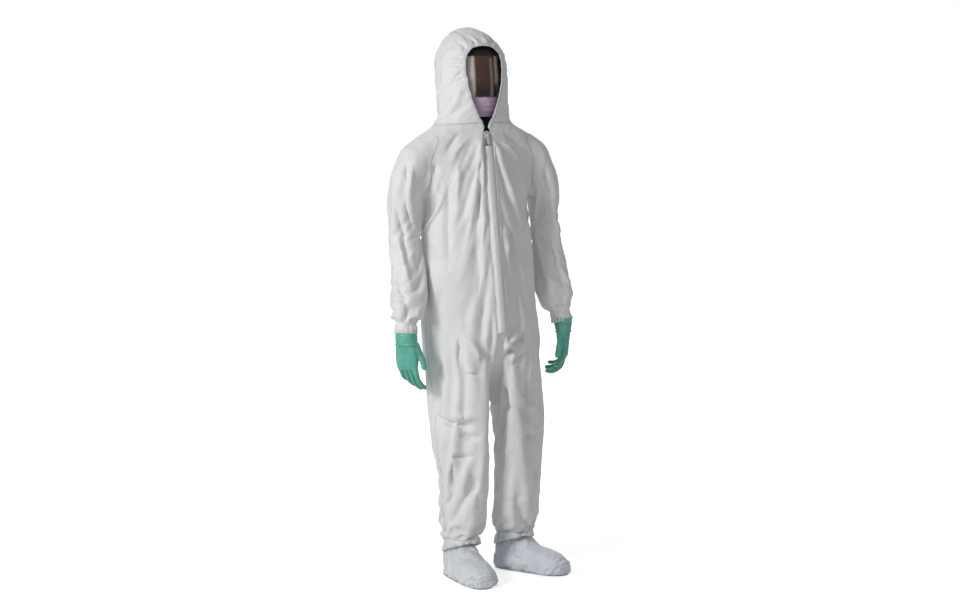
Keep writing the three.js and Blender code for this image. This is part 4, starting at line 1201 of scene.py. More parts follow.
# ================================================================ materials
class Graph:
    """A material's node tree, with a short way to write each kind of node."""

    def __init__(self, name):
        self.material = bpy.data.materials.new(name)
        self.material.use_nodes = True
        self.tree = self.material.node_tree
        self.surface = self.tree.nodes["Principled BSDF"]

    def set(self, socket, value):
        if hasattr(value, "is_output"):
            self.tree.links.new(value, socket)
        elif hasattr(socket.default_value, "__len__") and not hasattr(value, "__len__"):
            socket.default_value = (value,) * len(socket.default_value)
        elif hasattr(value, "__len__") and len(socket.default_value) == 4 and len(value) == 3:
            socket.default_value = (*value, 1)
        else:
            socket.default_value = value

    def node(self, kind, **settings):
        node = self.tree.nodes.new("ShaderNode" + kind)
        for key, value in settings.items():
            setattr(node, key, value)
        return node

    def math(self, operation, a, b=0.0, c=0.0):
        node = self.node("Math", operation=operation)
        for socket, value in zip(node.inputs, (a, b, c)):
            self.set(socket, value)
        return node.outputs[0]

    def times(self, a, b):
        return self.math("MULTIPLY", a, b)

    def plus(self, a, b):
        return self.math("ADD", a, b)

    def minus(self, a, b):
        return self.math("SUBTRACT", a, b)

    def position(self):
        """Where the point was drawn, before the cloth was draped or the hand was turned."""
        return self.node("Attribute", attribute_name="rest").outputs["Vector"]

    def object_position(self):
        return self.node("TexCoord").outputs["Object"]

    def split(self, vector):
        node = self.node("SeparateXYZ")
        self.set(node.inputs[0], vector)
        return node.outputs

    def scaled(self, vector, factors):
        node = self.node("VectorMath", operation="MULTIPLY")
        self.set(node.inputs[0], vector)
        self.set(node.inputs[1], factors)
        return node.outputs[0]

    def noise(self, vector, scale, detail=3.0, roughness=0.5, kind="FBM"):
        node = self.node("TexNoise", noise_type=kind)
        self.set(node.inputs["Vector"], vector)
        node.inputs["Scale"].default_value = scale
        node.inputs["Detail"].default_value = detail
        node.inputs["Roughness"].default_value = roughness
        return node.outputs[0]

    def cells(self, vector, scale):
        node = self.node("TexVoronoi", feature="F1")
        self.set(node.inputs["Vector"], vector)
        node.inputs["Scale"].default_value = scale
        return node.outputs["Distance"]

    def ramp(self, value, low, high, out_low=0.0, out_high=1.0):
        node = self.node("MapRange", interpolation_type="SMOOTHSTEP")
        for socket, number in zip(node.inputs, (value, low, high, out_low, out_high)):
            self.set(socket, number)
        return node.outputs[0]

    def band(self, value, centre, half):
        """1 on a line and 0 beyond half its width."""
        away = self.math("ABSOLUTE", self.minus(value, centre))
        return self.ramp(away, half * 0.35, half, 1.0, 0.0)

    def mix(self, share, a, b):
        node = self.node("Mix", data_type="RGBA")
        self.set(node.inputs[0], share)
        self.set(node.inputs[6], a)
        self.set(node.inputs[7], b)
        return node.outputs[2]

    def tinted(self, colour, other, value, low=0.0, high=1.0, most=1.0):
        """A colour that turns towards another where a value runs from low to high."""
        return self.mix(self.ramp(value, low, high, 0.0, most), colour, other)

    def bump(self, height, distance, strength=1.0, after=None):
        node = self.node("Bump")
        node.inputs["Strength"].default_value = strength
        node.inputs["Distance"].default_value = distance
        self.set(node.inputs["Height"], height)
        if after is not None:
            self.set(node.inputs["Normal"], after)
        return node.outputs[0]

    def finish(self, colour, roughness, normal=None, **more):
        self.set(self.surface.inputs["Base Color"], colour)
        self.set(self.surface.inputs["Roughness"], roughness)
        if normal is not None:
            self.set(self.surface.inputs["Normal"], normal)
        for key, value in more.items():
            self.set(self.surface.inputs[key.replace("_", " ")], value)
        return self.material


def greatest(graph, values):
    """The greatest of several values."""
    out = values[0]
    for value in values[1:]:
        out = graph.math("MAXIMUM", out, value)
    return out


def coverall_seams(g, rest):
    """Lines of every seam, and the dashes of the stitching beside them."""
    x, y, z = g.split(rest)
    ax = g.math("ABSOLUTE", x)
    above = lambda value, level: g.math("GREATER_THAN", value, level)
    below = lambda value, level: g.math("LESS_THAN", value, level)
    trunk = g.times(below(ax, ARMHOLE_X), below(z, 1.40))
    side_seam = (g.minus(y, 0.005), trunk, z)
    drop = g.ramp(z, 1.36, 1.455, 0.1865, 0.150)
    armhole = (g.minus(ax, drop), g.times(above(z, 1.285), below(z, 1.452)), z)
    crown = g.times(above(z, 1.482), g.math("MAXIMUM", above(z, 1.69), above(y, 0.02)))
    centre = (g.minus(ax, 0.044), crown, g.plus(y, z))
    neck = (g.minus(z, NECK_SEAM_Z), 1.0, g.plus(x, y))
    back = (x, g.times(above(y, 0.02), below(z, 1.478)), z)
    seams, stitches, folds = [], [], []
    for away, where, along in (side_seam, armhole, centre, neck, back):
        seams.append(g.times(g.band(away, 0.0, 0.0011), where))
        folds.append(g.times(g.band(away, 0.0016, 0.0034), where))
        dash = above(g.math("FRACT", g.times(along, 330.0)), 0.34)
        stitches.append(g.times(g.times(g.band(away, 0.0034, 0.0007), dash), where))
    sleeve = g.times(above(ax, ARMHOLE_X), above(z, 0.7))
    cuff = g.times(g.band(z, CUFF_Z + 0.013, 0.0010), sleeve)
    hem = g.times(g.band(z, HEM_Z + 0.014, 0.0010), below(z, 0.5))
    return greatest(g, seams), greatest(g, stitches + [cuff, hem]), greatest(g, folds)


def suit_material():
    """White non-woven: fine embossed dots, papery creases, a soft sheen, seams and light soiling."""
    g = Graph("suit_nonwoven")
    rest = g.position()
    _, _, z = g.split(rest)
    seams, stitches, folds = coverall_seams(g, rest)
    broad = g.noise(rest, 3.0, 2.0)
    patchy = g.noise(rest, 14.0, 4.0, 0.6)
    colour = g.tinted((0.775, 0.778, 0.79), (0.82, 0.82, 0.825), broad, 0.35, 0.65)
    colour = g.tinted(colour, (0.715, 0.715, 0.725), patchy, 0.45, 0.75, 0.35)
    fibres = g.noise(g.scaled(rest, (1.0, 1.0, 0.22)), 420.0, 3.0, 0.7)
    colour = g.tinted(colour, (0.87, 0.87, 0.87), fibres, 0.52, 0.72, 0.22)
    soil = g.times(g.ramp(z, 0.12, 0.34, 0.55, 0.0), g.ramp(g.noise(rest, 18.0, 5.0), 0.45, 0.7))
    colour = g.mix(soil, colour, (0.50, 0.49, 0.48))
    colour = g.mix(g.times(seams, 0.32), colour, (0.36, 0.36, 0.38))
    colour = g.mix(g.times(stitches, 0.35), colour, (0.48, 0.48, 0.50))
    dots = g.ramp(g.cells(rest, 620.0), 0.15, 0.45)
    creases = g.noise(rest, 26.0, 5.0, 0.55, "RIDGED_MULTIFRACTAL")
    soft = g.noise(g.scaled(rest, (1.0, 1.0, 0.6)), 34.0, 3.0)
    sharp = g.noise(g.scaled(rest, (1.0, 1.0, 0.55)), 11.0, 4.0, 0.5, "RIDGED_MULTIFRACTAL")
    normal = g.bump(soft, 0.0030, 0.55)
    normal = g.bump(sharp, 0.0045, 0.6, normal)
    normal = g.bump(creases, 0.0012, 0.40, normal)
    normal = g.bump(g.minus(g.plus(folds, stitches), seams), 0.0011, 0.9, normal)
    normal = g.bump(g.plus(dots, fibres), 0.00012, 0.5, normal)
    roughness = g.ramp(patchy, 0.3, 0.7, 0.56, 0.68)
    return g.finish(colour, roughness, normal, Sheen_Weight=0.12, Sheen_Roughness=0.5,
                    Specular_IOR_Level=0.35)


def hem_material(name, colour, lines=430.0):
    """Folded cloth over elastic: close pleats across the hem, with painted shade in their hollows and
    painted light on their crests, and a row of stitches.
    """
    g = Graph(name)
    at = g.object_position()
    x, y, z = g.split(at)
    pleats = g.noise(g.scaled(at, (1.0, 1.0, 0.5)), 260.0, 2.0)
    # painted shade and light: the colour is darker in the hollows of the pleats and lighter on their crests
    darker, lighter = tuple(c * 0.84 for c in colour), tuple(min(1, c * 1.05) for c in colour)
    tint = g.tinted(darker, lighter, pleats, 0.3, 0.7)
    along = g.times(g.plus(g.plus(x, y), z), lines)
    dash = g.math("GREATER_THAN", g.math("FRACT", along), 0.35)
    dirt = g.ramp(g.noise(at, 22.0, 5.0), 0.5, 0.75, 0.0, 0.3)
    tint = g.mix(dirt, tint, tuple(c * 0.72 for c in colour))
    normal = g.bump(pleats, 0.0010, 0.6)
    normal = g.bump(dash, 0.00015, 0.4, normal)
    return g.finish(tint, 0.66, normal, Sheen_Weight=0.15)


def boot_material():
    """Bluish, slightly slick shoe-cover cloth with embossed dots, creases and grey scuffs near the floor."""
    g = Graph("boot_nonwoven")
    rest = g.position()
    at = g.object_position()
    _, _, z = g.split(at)
    patch = g.noise(rest, 16.0, 4.0)
    colour = g.tinted((0.66, 0.695, 0.755), (0.74, 0.77, 0.815), patch, 0.35, 0.65)
    scuffs = g.ramp(g.noise(g.scaled(rest, (1.0, 0.5, 1.0)), 46.0, 6.0, 0.6), 0.50, 0.72)
    colour = g.mix(g.times(scuffs, g.ramp(z, 0.0, 0.05, 0.7, 0.08)), colour, (0.40, 0.41, 0.42))
    dots = g.ramp(g.cells(rest, 560.0), 0.15, 0.45)
    creases = g.noise(rest, 40.0, 5.0, 0.6, "RIDGED_MULTIFRACTAL")
    normal = g.bump(g.noise(rest, 30.0, 2.0), 0.0030, 0.5)
    normal = g.bump(creases, 0.0008, 0.4, normal)
    normal = g.bump(dots, 0.00014, 0.5, normal)
    roughness = g.ramp(patch, 0.3, 0.7, 0.48, 0.62)
    return g.finish(colour, roughness, normal, Specular_IOR_Level=0.4, Sheen_Weight=0.1)


def sole_material():
    g = Graph("boot_sole_grip")
    at = g.object_position()
    tread = g.ramp(g.cells(at, 150.0), 0.22, 0.34)
    worn = g.ramp(g.noise(at, 30.0, 5.0), 0.42, 0.68)
    colour = g.mix(worn, (0.46, 0.50, 0.57), (0.27, 0.28, 0.30))
    colour = g.mix(g.times(tread, 0.35), colour, (0.62, 0.64, 0.68))
    return g.finish(colour, 0.85, g.bump(tread, 0.0008, 0.7))


def nitrile_material():
    """Thin green rubber: a satin coat, fine grain on the fingers, paler where it is stretched."""
    g = Graph("nitrile")
    rest = g.position()
    _, _, z = g.split(rest)
    stretch = g.noise(rest, 24.0, 4.0)
    colour = g.tinted((0.10, 0.41, 0.32), (0.17, 0.52, 0.43), stretch, 0.35, 0.68)
    powder = g.ramp(g.noise(rest, 130.0, 5.0, 0.65), 0.55, 0.75, 0.0, 0.25)
    colour = g.mix(powder, colour, (0.30, 0.62, 0.54))
    colour = g.mix(g.ramp(z, -0.22, -0.09, 0.22, 0.0), colour, (0.07, 0.32, 0.25))
    grain = g.ramp(g.cells(rest, 800.0), 0.1, 0.5)
    grip = g.ramp(z, -0.10, -0.14, 0.25, 1.0)
    rings = g.noise(g.scaled(rest, (1.0, 1.0, 3.2)), 60.0, 3.0)
    normal = g.bump(rings, 0.0011, 0.45)
    normal = g.bump(g.times(grain, grip), 0.00022, 0.6, normal)
    return g.finish(colour, g.ramp(stretch, 0.3, 0.7, 0.40, 0.54), normal, Specular_IOR_Level=0.5,
                    Subsurface_Weight=0.08, Subsurface_Radius=(0.002, 0.006, 0.004), Subsurface_Scale=0.4)


def knit_and_hood_shade_material():
    g = Graph("black_knit_as_hood_shade")
    at = g.object_position()
    x, y, z = g.split(at)
    rows = g.math("SINE", g.times(z, 2600.0))
    ribs = g.math("SINE", g.times(g.plus(x, g.times(y, 0.7)), 2900.0))
    loops = g.times(rows, ribs)
    fuzz = g.noise(at, 300.0, 4.0)
    # painted shade: the knit's near-black also stands in for the shade deep inside the suit's hood
    colour = g.tinted((0.010, 0.009, 0.010), (0.032, 0.029, 0.031), fuzz, 0.35, 0.7)
    return g.finish(colour, 0.92, g.bump(loops, 0.0004, 0.7), Sheen_Weight=0.25, Sheen_Roughness=0.4)


def visor_material():
    """Tinted film: darker along the bottom, with a hard coat that mirrors the room, and painted reflections
    in its colour: a pale band on the wearer's right and a cream glint on the left.
    """
    g = Graph("visor_film")
    x, _, z = g.split(g.object_position())
    smear = g.noise(g.scaled(g.object_position(), (1.0, 1.0, 0.35)), 26.0, 5.0)
    low = g.ramp(z, VISOR_BOTTOM + 0.012, VISOR_BOTTOM + 0.046, 1.0, 0.0)
    colour = g.mix(low, (0.085, 0.036, 0.020), (0.018, 0.011, 0.014))
    colour = g.tinted(colour, (0.15, 0.075, 0.045), smear, 0.42, 0.72, 0.30)
    # painted reflection: a pale band over the wearer's right side of the film
    sheen = g.times(g.ramp(x, -0.026, -0.036, 0.0, 1.0), g.ramp(smear, 0.2, 0.6, 0.75, 1.0))
    colour = g.mix(sheen, colour, (0.60, 0.58, 0.56))
    # painted glint: a narrow cream strip on the wearer's left side of the film
    painted_glint = g.times(g.band(x, 0.048, 0.009), g.ramp(z, VISOR_BOTTOM + 0.030, VISOR_BOTTOM + 0.050))
    colour = g.mix(g.times(painted_glint, 0.8), colour, (0.52, 0.48, 0.36))
    alpha = g.ramp(low, 0.0, 1.0, 0.94, 0.98)
    roughness = g.ramp(smear, 0.3, 0.75, 0.07, 0.17)
    return g.finish(colour, roughness, g.bump(smear, 0.0004, 0.2), Alpha=alpha, IOR=1.5, Coat_Weight=0.35,
                    Coat_Roughness=0.05, Specular_IOR_Level=0.5)


def mask_material():
    g = Graph("mask_cloth_lilac")
    at = g.object_position()
    _, _, z = g.split(at)
    patch = g.noise(at, 30.0, 4.0)
    colour = g.tinted((0.62, 0.45, 0.62), (0.74, 0.56, 0.72), patch, 0.35, 0.68)
    # painted shade: the cloth is darker along the lower edge of each pleat, at its fold
    fold = g.math("FRACT", g.times(g.minus(MASK_TOP - 0.010, z), 1 / 0.0155))
    colour = g.tinted(colour, (0.40, 0.28, 0.40), fold, 0.86, 0.99, 0.5)
    dots = g.ramp(g.cells(at, 900.0), 0.12, 0.42)
    normal = g.bump(g.noise(at, 90.0, 3.0), 0.0008, 0.5)
    return g.finish(colour, 0.8, g.bump(dots, 0.0002, 0.6, normal), Sheen_Weight=0.2)


def speckled(name, dark, light, roughness, scale=120.0, bump=0.0003, metallic=0.0):
    """A plain finish with grain, uneven colour and small scratches, for the small hard parts."""
    g = Graph(name)
    at = g.object_position()
    grain = g.noise(at, scale, 6.0, 0.6)
    colour = g.tinted(dark, light, grain, 0.32, 0.7)
    scratches = g.noise(g.scaled(at, (1.0, 1.0, 0.12)), scale * 5, 3.0)
    rough = g.ramp(scratches, 0.35, 0.7, roughness * 0.8, min(1.0, roughness * 1.25))
    return g.finish(colour, rough, g.bump(grain, bump, 0.6), Metallic=metallic)


def woven(name, dark, light, pitch, roughness=0.85):
    """A woven tape: ribs one way and threads the other."""
    g = Graph(name)
    x, y, z = g.split(g.object_position())
    ribs = g.math("SINE", g.times(x, 2 * math.pi / pitch))
    threads = g.math("SINE", g.times(g.minus(z, g.times(y, 0.5)), 2 * math.pi / pitch))
    weave = g.times(ribs, threads)
    worn = g.noise(g.object_position(), 45.0, 4.0)
    colour = g.tinted(dark, light, weave, -0.8, 0.8)
    colour = g.tinted(colour, tuple(c * 0.75 for c in dark), worn, 0.5, 0.8, 0.4)
    return g.finish(colour, roughness, g.bump(weave, 0.0003, 0.7), Sheen_Weight=0.1)


def smooth(obj):
    obj.data.shade_smooth()
    return obj


def dress(obj, material):
    obj.data.materials.clear()
    obj.data.materials.append(material)
    return obj


# ================================================================ putting the suit together
def framed(point):
    """A point measured from the hip axis, in the frame of the whole suit."""
    return (point[0], point[1] + HIPS_BEHIND_MIDDLE, point[2])


def move_to_frame(obj):
    obj.data.transform(Matrix.Translation((0, HIPS_BEHIND_MIDDLE, 0)))


def bend(obj, a, b, stretch, *nodes):
    """The piece is moved into the suit's frame and kept where it is drawn, standing in for the CAD nodes
    named. Bodies a and b and the stretch are not used.
    """
    move_to_frame(obj)
    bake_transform(obj)
    stand_for(nodes)


def carry(obj, body, *nodes):
    """The piece rides on a body and stands in for the CAD nodes named."""
    move_to_frame(obj)
    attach(obj, body)
    stand_for(nodes)


def stand_for(nodes):
    if nodes:
        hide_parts(*nodes)


def make_coverall():
    """The draped cloth, with its pleats and creases, before it is split."""
    cloth = remeshed(coverall_volume("coverall"), CLOTH_EDGE, 2)
    melt_crotch(cloth)
    cut_coverall(cloth)
    rest = points_of(cloth)
    body = wearer()
    drape(cloth, FRAMES, GROWTH, 3.0, held(rest), calm(rest))
    bpy.data.objects.remove(body)
    part_sleeves(cloth, rest, widen=True)
    relax(cloth, 1, 0.3)
    store_rest(cloth, rest)
    refined(cloth)
    set_points(cloth, points_of(cloth) + normals_of(cloth) * folds(points_of(cloth))[:, None])
    rest = rest_of(cloth)
    move = gathers(rest) + crinkles(rest)
    set_points(cloth, points_of(cloth) + normals_of(cloth) * move[:, None])
    part_sleeves(cloth, rest)
    return cloth


HEM_NAMES = {"face": "hood_hem", "throat_a": "throat_hem_one", "throat_b": "throat_hem_other"}


# an open edge whose middle is above these heights is the face's or a cuff's
FACE_LOOP_Z, CUFF_LOOP_Z = 0.9, 0.6


def face_hems(at, frames):
    """The hem round the face opening and the two short ones below it that lead to the zip."""
    start = int(np.argmin(np.abs(at[:, 2] - 1.462) + (at[:, 0] > 0) * 9))
    frames = [np.roll(part, -start, 0) for part in frames]
    at = np.roll(at, -start, 0)
    if at[8, 2] < 1.46:
        frames = [np.roll(part[::-1], 1, 0) for part in frames]
        at = np.roll(at[::-1], 1, 0)
    high = np.flatnonzero(at[:, 2] > NECK_SPLITS[1])
    low = np.flatnonzero(at[:, 2] > THROAT_Z)
    stretches = {"face": (high[0] - 1, high[-1] + 2), "throat_a": (low[0], high[0]),
                 "throat_b": (high[-1] + 1, low[-1] + 1)}
    hems = {}
    for key, (first, last) in stretches.items():
        own = [part[first:last] for part in frames]
        hems[key] = hem_band(HEM_NAMES[key], *own, 0.0130, 0.0042, 0.0004, closed=False)
    return hems


def cloth_hems(cloth, normals):
    """Elastic hems round the face, the wrists and the ankles."""
    links = neighbours(cloth)
    rest = rest_of(cloth)
    hems = {}
    for loop in boundary_loops(cloth):
        middle = rest[loop].mean(0)
        frames = edge_frames(cloth, loop, normals, links)
        side = "left" if middle[0] > 0 else "right"
        if middle[2] > FACE_LOOP_Z:
            hems.update(face_hems(rest[loop], frames))
        elif middle[2] > CUFF_LOOP_Z:
            hems["cuff_" + side] = hem_band(f"cuff_hem_{side}", *frames, 0.0110, 0.0028, 0.0009)
        else:
            hems["leg_" + side] = hem_band(f"leg_hem_{side}", *frames, 0.0085, 0.0022, 0.0006)
    return hems


def waist_elastic(cloth):
    """The band sewn inside the back at the waist."""
    tree = surface_of(cloth)
    rows = []
    for z in np.linspace(WAIST_Z - 0.010, WAIST_Z + 0.010, 5):
        row = []
        for x in np.linspace(-0.145, 0.145, 90):
            hit = tree.ray_cast(Vector((x, 0.0, z)), Vector((0, 1, 0)))
            y = hit[0].y if hit[0] is not None else 0.10
            row.append((x, y - 0.0028 - CLOTH_THICK, z))
        rows.append(row)
    rows = np.array(rows)
    rows[:, :, 1] = smooth_line(rows[:, :, 1].T, 2, closed=False).T
    return strip("waist_band", rows[:, ::-1], 0.0012)


# the stretches between one body and the next, given to bend for each sheet of cloth
TURN_BLEND = ((0, 0, 1.449), (0, 0, 1.487))
NOD_BLEND = ((0, 0, 1.500), (0, 0, 1.540))
ANKLE_BLEND = ((0, 0, 0.200), (0, 0, 0.105))
WRIST_BLEND = ((0, 0, WRIST[2]), (0, 0, WRIST[2] - 0.057))


CLOTH_STEMS = ("shoulder", "elbow", "forearm", "hip", "knee", "shin")
LIMB_BODIES = ("upper_arm", "forearm", "thigh", "shin", "foot")


def place_cloth(pieces, material):
    for piece in pieces.values():
        dress(piece, material)
    trunk_nodes = ("front_panel_left", "front_panel_right", "back_panel", "seat_panel", "crotch_gusset")
    carry(pieces["torso_cloth"], "torso", *trunk_nodes)
    carry(pieces["hood_cloth"], "hood", "hood_centre_panel", "hood_side_left", "hood_side_right")
    bend(pieces["collar_low"], "torso", "neck", TURN_BLEND, "neck_panel")
    bend(pieces["collar_high"], "neck", "hood", NOD_BLEND)
    for side, sign in SIDES:
        piece = {stem: pieces[f"{stem}_cloth_{side}"] for stem in CLOTH_STEMS}
        arm, forearm, thigh, shin, foot = (f"{stem}_{side}" for stem in LIMB_BODIES)
        shoulder_stretch = [(sign * x, 0, 1.3) for x in SHOULDER_BLEND_X]
        elbow_stretch = ((sign * 0.254, 0.010, 1.165), (sign * 0.260, 0.0, 1.055))
        bend(piece["shoulder"], "torso", arm, shoulder_stretch)
        bend(piece["elbow"], arm, forearm, elbow_stretch, f"upper_sleeve_{side}")
        carry(piece["forearm"], forearm, f"lower_sleeve_{side}")
        bend(piece["hip"], "torso", thigh, ((0, 0, 0.71), (sign * 0.078, 0, 0.606)), f"upper_leg_{side}")
        bend(piece["knee"], thigh, shin, ((0, 0, 0.545), (0, 0, 0.43)))
        bend(piece["shin"], shin, foot, ANKLE_BLEND, f"lower_leg_{side}")


def place_hems(hems, material):
    for hem in hems.values():
        smooth(dress(hem, material))
    bend(hems["face"], "neck", "hood", NOD_BLEND, "face_elastic")
    for key in ("throat_a", "throat_b"):
        bend(hems[key], "torso", "neck", TURN_BLEND)
    for side, _ in SIDES:
        carry(hems["cuff_" + side], f"forearm_{side}", f"wrist_elastic_{side}")
        bend(hems["leg_" + side], f"shin_{side}", f"foot_{side}", ANKLE_BLEND, f"ankle_elastic_{side}")


def place_zip(cloth, tape_cloth, coil_plastic, suit, adhesive):
    for side, sign in SIDES:
        carry(dress(zip_tape(side, sign), tape_cloth), "torso", f"zip_tape_{side}")
        carry(smooth(dress(zip_coil(side, sign), coil_plastic)), "torso", f"zip_coil_{side}")
    sewn_edge = [(-FLAP_HALF + along, 0, 0) for along in (0, 0.0045)]
    bend(dress(storm_flap(cloth), suit), "torso", "storm_flap", sewn_edge, "storm_flap")
    carry(dress(adhesive_strip(cloth), adhesive), "storm_flap", "flap_adhesive_strip")


def place_gear(knit, film, black, lilac, metal):
    bend(dress(inner_hood(), knit), "neck", "hood", NOD_BLEND, "inner_hood")
    pieces = ((visor(), film, "lens", "visor_lens"), (brow_band(), black, "black_plastic", "brow_band"),
              (mask(), lilac, "mask_cloth", "face_mask"), (mask_clip(), metal, "metal", "mask_nose_clip"),
              (ear_loop("left", 1), lilac, "mask_cloth", "mask_ear_loop_left"),
              (ear_loop("right", -1), lilac, "mask_cloth", "mask_ear_loop_right"))
    for piece, material, slot, node in pieces:
        carry(smooth(dress(piece, material)), "hood", node)


def place_gloves(nitrile):
    for side, sign in SIDES:
        skin, band = glove(side, sign), glove_cuff(side, sign)
        for piece, node in ((skin, f"glove_{side}"), (band, f"glove_cuff_bead_{side}")):
            bend(dress(piece, nitrile), f"forearm_{side}", f"hand_{side}", WRIST_BLEND, node)


def crumple_boot(cover):
    """Dents all over the cover and gathers under its elastic, with the sole left flat."""
    rest = rest_of(cover)
    dents = 0.0034 * ripple(rest, 14, 3.0) + 0.0018 * (1 - 2 * np.abs(ripple(rest, 22, 8.0)))
    angle = np.arctan2(rest[:, 1], rest[:, 0])
    dents += 0.0016 * np.exp(-(BOOT_TOP - rest[:, 2]) / 0.02) * np.sin(15 * angle)
    firm = smoothstep(0.0, 0.014, rest[:, 2])
    co = points_of(cover) + normals_of(cover) * (dents * firm)[:, None]
    co[:, 2] = np.maximum(co[:, 2], SOLE_LIFT)
    set_points(cover, co)


def place_boots(material, elastic, sole):
    """The cover and its hem are made once, then mirrored and turned to each side."""
    cover = boot_cover()
    rest = points_of(cover)
    drape_boot(cover, 0.075)
    store_rest(cover, rest)
    refined(cover)
    crumple_boot(cover)
    rest, co, normals = rest_of(cover), points_of(cover), normals_of(cover)
    loop = max(boundary_loops(cover), key=len)
    frames = edge_frames(cover, loop, normals, neighbours(cover))
    band = hem_band("boot_band", *frames, 0.010, 0.0030, 0.0010)
    faces, band_co, band_faces = faces_of(cover), points_of(band), faces_of(band)
    bpy.data.objects.remove(cover)
    bpy.data.objects.remove(band)
    for side, sign in SIDES:
        place = lambda points: turned(points * (sign, 1, 1), sign * SPLAY[side])
        order = lambda own: [face[::sign] for face in own]
        shift = np.array((sign * ANKLE[0], ANKLE[1], 0))
        piece = thick_piece(f"boot_cloth_{side}", place(co) + shift, place(normals), rest, order(faces),
                            BOOT_THICK)
        top = new_object(f"boot_hem_{side}", place(band_co) + shift, order(band_faces))
        bodies = (f"shin_{side}", f"foot_{side}")
        bend(dress(piece, material), *bodies, ANKLE_BLEND, f"boot_cover_{side}")
        bend(smooth(dress(top, elastic)), *bodies, ANKLE_BLEND, f"boot_elastic_{side}")
        dress(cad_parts[f"boot_sole_{side}"], sole)


def bevelled(obj, width):
    modifier = obj.modifiers.new("worn edges", "BEVEL")
    modifier.width = width
    modifier.segments = 2
    modifier.limit_method = "ANGLE"
    return obj


def dress_small_parts(enamel, foam, strap, plastic):
    """The CAD's own small parts keep their shape and get worn edges and a real finish."""
    finishes = {"zip_slider": enamel, "zip_pull_tab": enamel, "zip_top_stop_left": plastic,
                "zip_top_stop_right": plastic, "zip_bottom_stop": plastic, "brow_foam": foam,
                "head_strap": strap}
    for node, material in finishes.items():
        dress(bevelled(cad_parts[node], 0.00025), material)
    for side, _ in SIDES:
        bevelled(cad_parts[f"boot_sole_{side}"], 0.002)


def softbox(name, place, aim, size, power, colour):
    light = bpy.data.lights.new(name, "AREA")
    light.shape = "RECTANGLE"
    light.size, light.size_y = size
    light.energy = power
    light.color = colour
    obj = bpy.data.objects.new(name, light)
    bpy.context.scene.collection.objects.link(obj)
    obj.location = place
    obj.rotation_euler = (Vector(aim) - Vector(place)).to_track_quat("-Z", "Y").to_euler()


def floor_material():
    """Pale paint that is seen as white far off, so that no horizon shows."""
    g = Graph("floor_paint")
    at = g.object_position()
    x, y, _ = g.split(at)
    far = g.math("SQRT", g.plus(g.times(x, x), g.times(y, y)))
    seen = g.node("LightPath").outputs["Is Camera Ray"]
    g.set(g.surface.inputs["Emission Color"], (1, 1, 1))
    glow = g.times(seen, g.ramp(far, 0.5, 2.6, FLOOR_GLOW, 1.0))
    g.set(g.surface.inputs["Emission Strength"], glow)
    paint = g.mix(g.noise(at, 1.5), (0.74, 0.74, 0.74), (0.78, 0.78, 0.78))
    return g.finish(paint, 0.8, Specular_IOR_Level=0.1)


def studio():
    """A white floor and surround, a large soft key from the left, and weaker lights round it."""
    world = bpy.data.worlds.new("surround")
    bpy.context.scene.world = world
    world.use_nodes = True
    tree = world.node_tree
    light = tree.nodes["Background"]
    light.inputs[0].default_value = (0.96, 0.98, 1.0, 1)
    light.inputs[1].default_value = SURROUND
    white = tree.nodes.new("ShaderNodeBackground")
    white.inputs[0].default_value = (1, 1, 1, 1)
    white.inputs[1].default_value = SEEN_WHITE
    path = tree.nodes.new("ShaderNodeLightPath")
    choose = tree.nodes.new("ShaderNodeMixShader")
    tree.links.new(path.outputs["Is Camera Ray"], choose.inputs[0])
    tree.links.new(light.outputs[0], choose.inputs[1])
    tree.links.new(white.outputs[0], choose.inputs[2])
    tree.links.new(choose.outputs[0], tree.nodes["World Output"].inputs["Surface"])
    bpy.context.scene.view_settings.view_transform = "Standard"

    corners = ((-1, -1), (1, -1), (1, 1), (-1, 1))
    floor = new_object("floor", [(x * FLOOR_REACH, y * FLOOR_REACH, FLOOR_Z) for x, y in corners],
                       [(0, 1, 2, 3)])
    dress(floor, floor_material())
    softbox("key", (-4.0, -1.35, 2.7), (0, 0, 1.0), (1.2, 1.4), KEY_POWER, (1.0, 0.985, 0.96))
    softbox("fill", (3.4, -2.2, 1.8), (0, 0, 1.0), (1.0, 1.8), FILL_POWER, (1.0, 0.97, 0.92))
    softbox("back", (1.4, 4.2, 2.6), (0, 0, 1.0), (1.6, 1.6), BACK_POWER, (1.0, 0.99, 0.97))
    softbox("top", (0.4, 1.4, 3.6), (0, 0, 1.2), (2.0, 2.0), TOP_POWER, (0.94, 0.97, 1.0))


SURROUND, SEEN_WHITE, FLOOR_GLOW = 0.33, 1.05, 0.60
FLOOR_REACH, FLOOR_Z = 40, -0.0005
KEY_POWER, FILL_POWER, BACK_POWER, TOP_POWER = 112.0, 6.0, 55.0, 8.0
CAMERA_TURN, CAMERA_DISTANCE, CAMERA_HEIGHT, CAMERA_ROLL = -25.0, 5.3, 1.35, -2.0
CAMERA_AIM = (0.0, 0.0, 0.905)


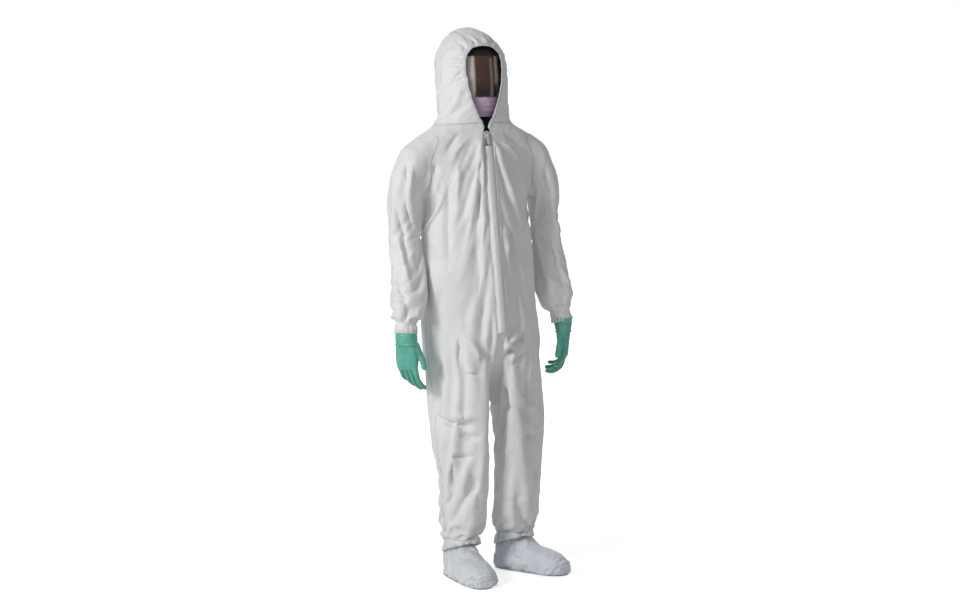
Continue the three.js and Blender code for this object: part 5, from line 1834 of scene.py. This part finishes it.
def camera():
    data = bpy.data.cameras.new("camera")
    data.lens, data.sensor_width = 60.8, 36
    obj = bpy.data.objects.new("camera", data)
    bpy.context.scene.collection.objects.link(obj)
    turn = math.radians(CAMERA_TURN)
    place = (math.sin(turn) * CAMERA_DISTANCE, -math.cos(turn) * CAMERA_DISTANCE, CAMERA_HEIGHT)
    obj.location = framed(place)
    look = (Vector(framed(CAMERA_AIM)) - obj.location).to_track_quat("-Z", "Y").to_matrix()
    obj.rotation_euler = (look @ Matrix.Rotation(math.radians(CAMERA_ROLL), 3, "Z")).to_euler()
    bpy.context.scene.camera = obj


def build():
    suit = suit_material()
    elastic_hem = hem_material("hem_cloth", (0.76, 0.76, 0.77))
    boot_hem = hem_material("boot_hem_cloth", (0.66, 0.70, 0.76))
    metal = speckled("zip_metal", (0.42, 0.43, 0.44), (0.62, 0.63, 0.64), 0.34, 200.0, 0.0001, 1.0)
    coil_plastic = speckled("coil_plastic", (0.60, 0.60, 0.61), (0.72, 0.72, 0.72), 0.42)
    enamel = speckled("zip_enamel", (0.60, 0.60, 0.61), (0.75, 0.75, 0.75), 0.36, 200.0, 0.0001)
    black = speckled("brow_plastic", (0.006, 0.005, 0.005), (0.016, 0.014, 0.013), 0.5)
    foam = speckled("brow_foam_cells", (0.004, 0.004, 0.004), (0.018, 0.018, 0.019), 0.95, 700.0, 0.0008)
    tape_cloth = woven("zip_tape_weave", (0.55, 0.55, 0.56), (0.74, 0.74, 0.74), 0.0011)
    strap = woven("strap_weave", (0.50, 0.50, 0.49), (0.76, 0.76, 0.74), 0.0016)
    adhesive = speckled("adhesive_paper", (0.66, 0.66, 0.60), (0.78, 0.78, 0.72), 0.5)

    cloth = make_coverall()
    normals = normals_of(cloth)
    hems = cloth_hems(cloth, normals)
    band = dress(waist_elastic(cloth), strap)
    place_zip(cloth, tape_cloth, coil_plastic, suit, adhesive)
    place_cloth(split_cloth(cloth, normals), suit)
    place_hems(hems, elastic_hem)
    carry(band, "torso", "waist_elastic")
    place_gear(knit_and_hood_shade_material(), visor_material(), black, mask_material(), metal)
    place_gloves(nitrile_material())
    place_boots(boot_material(), boot_hem, sole_material())
    dress_small_parts(enamel, foam, strap, coil_plastic)


build()
studio()
camera()
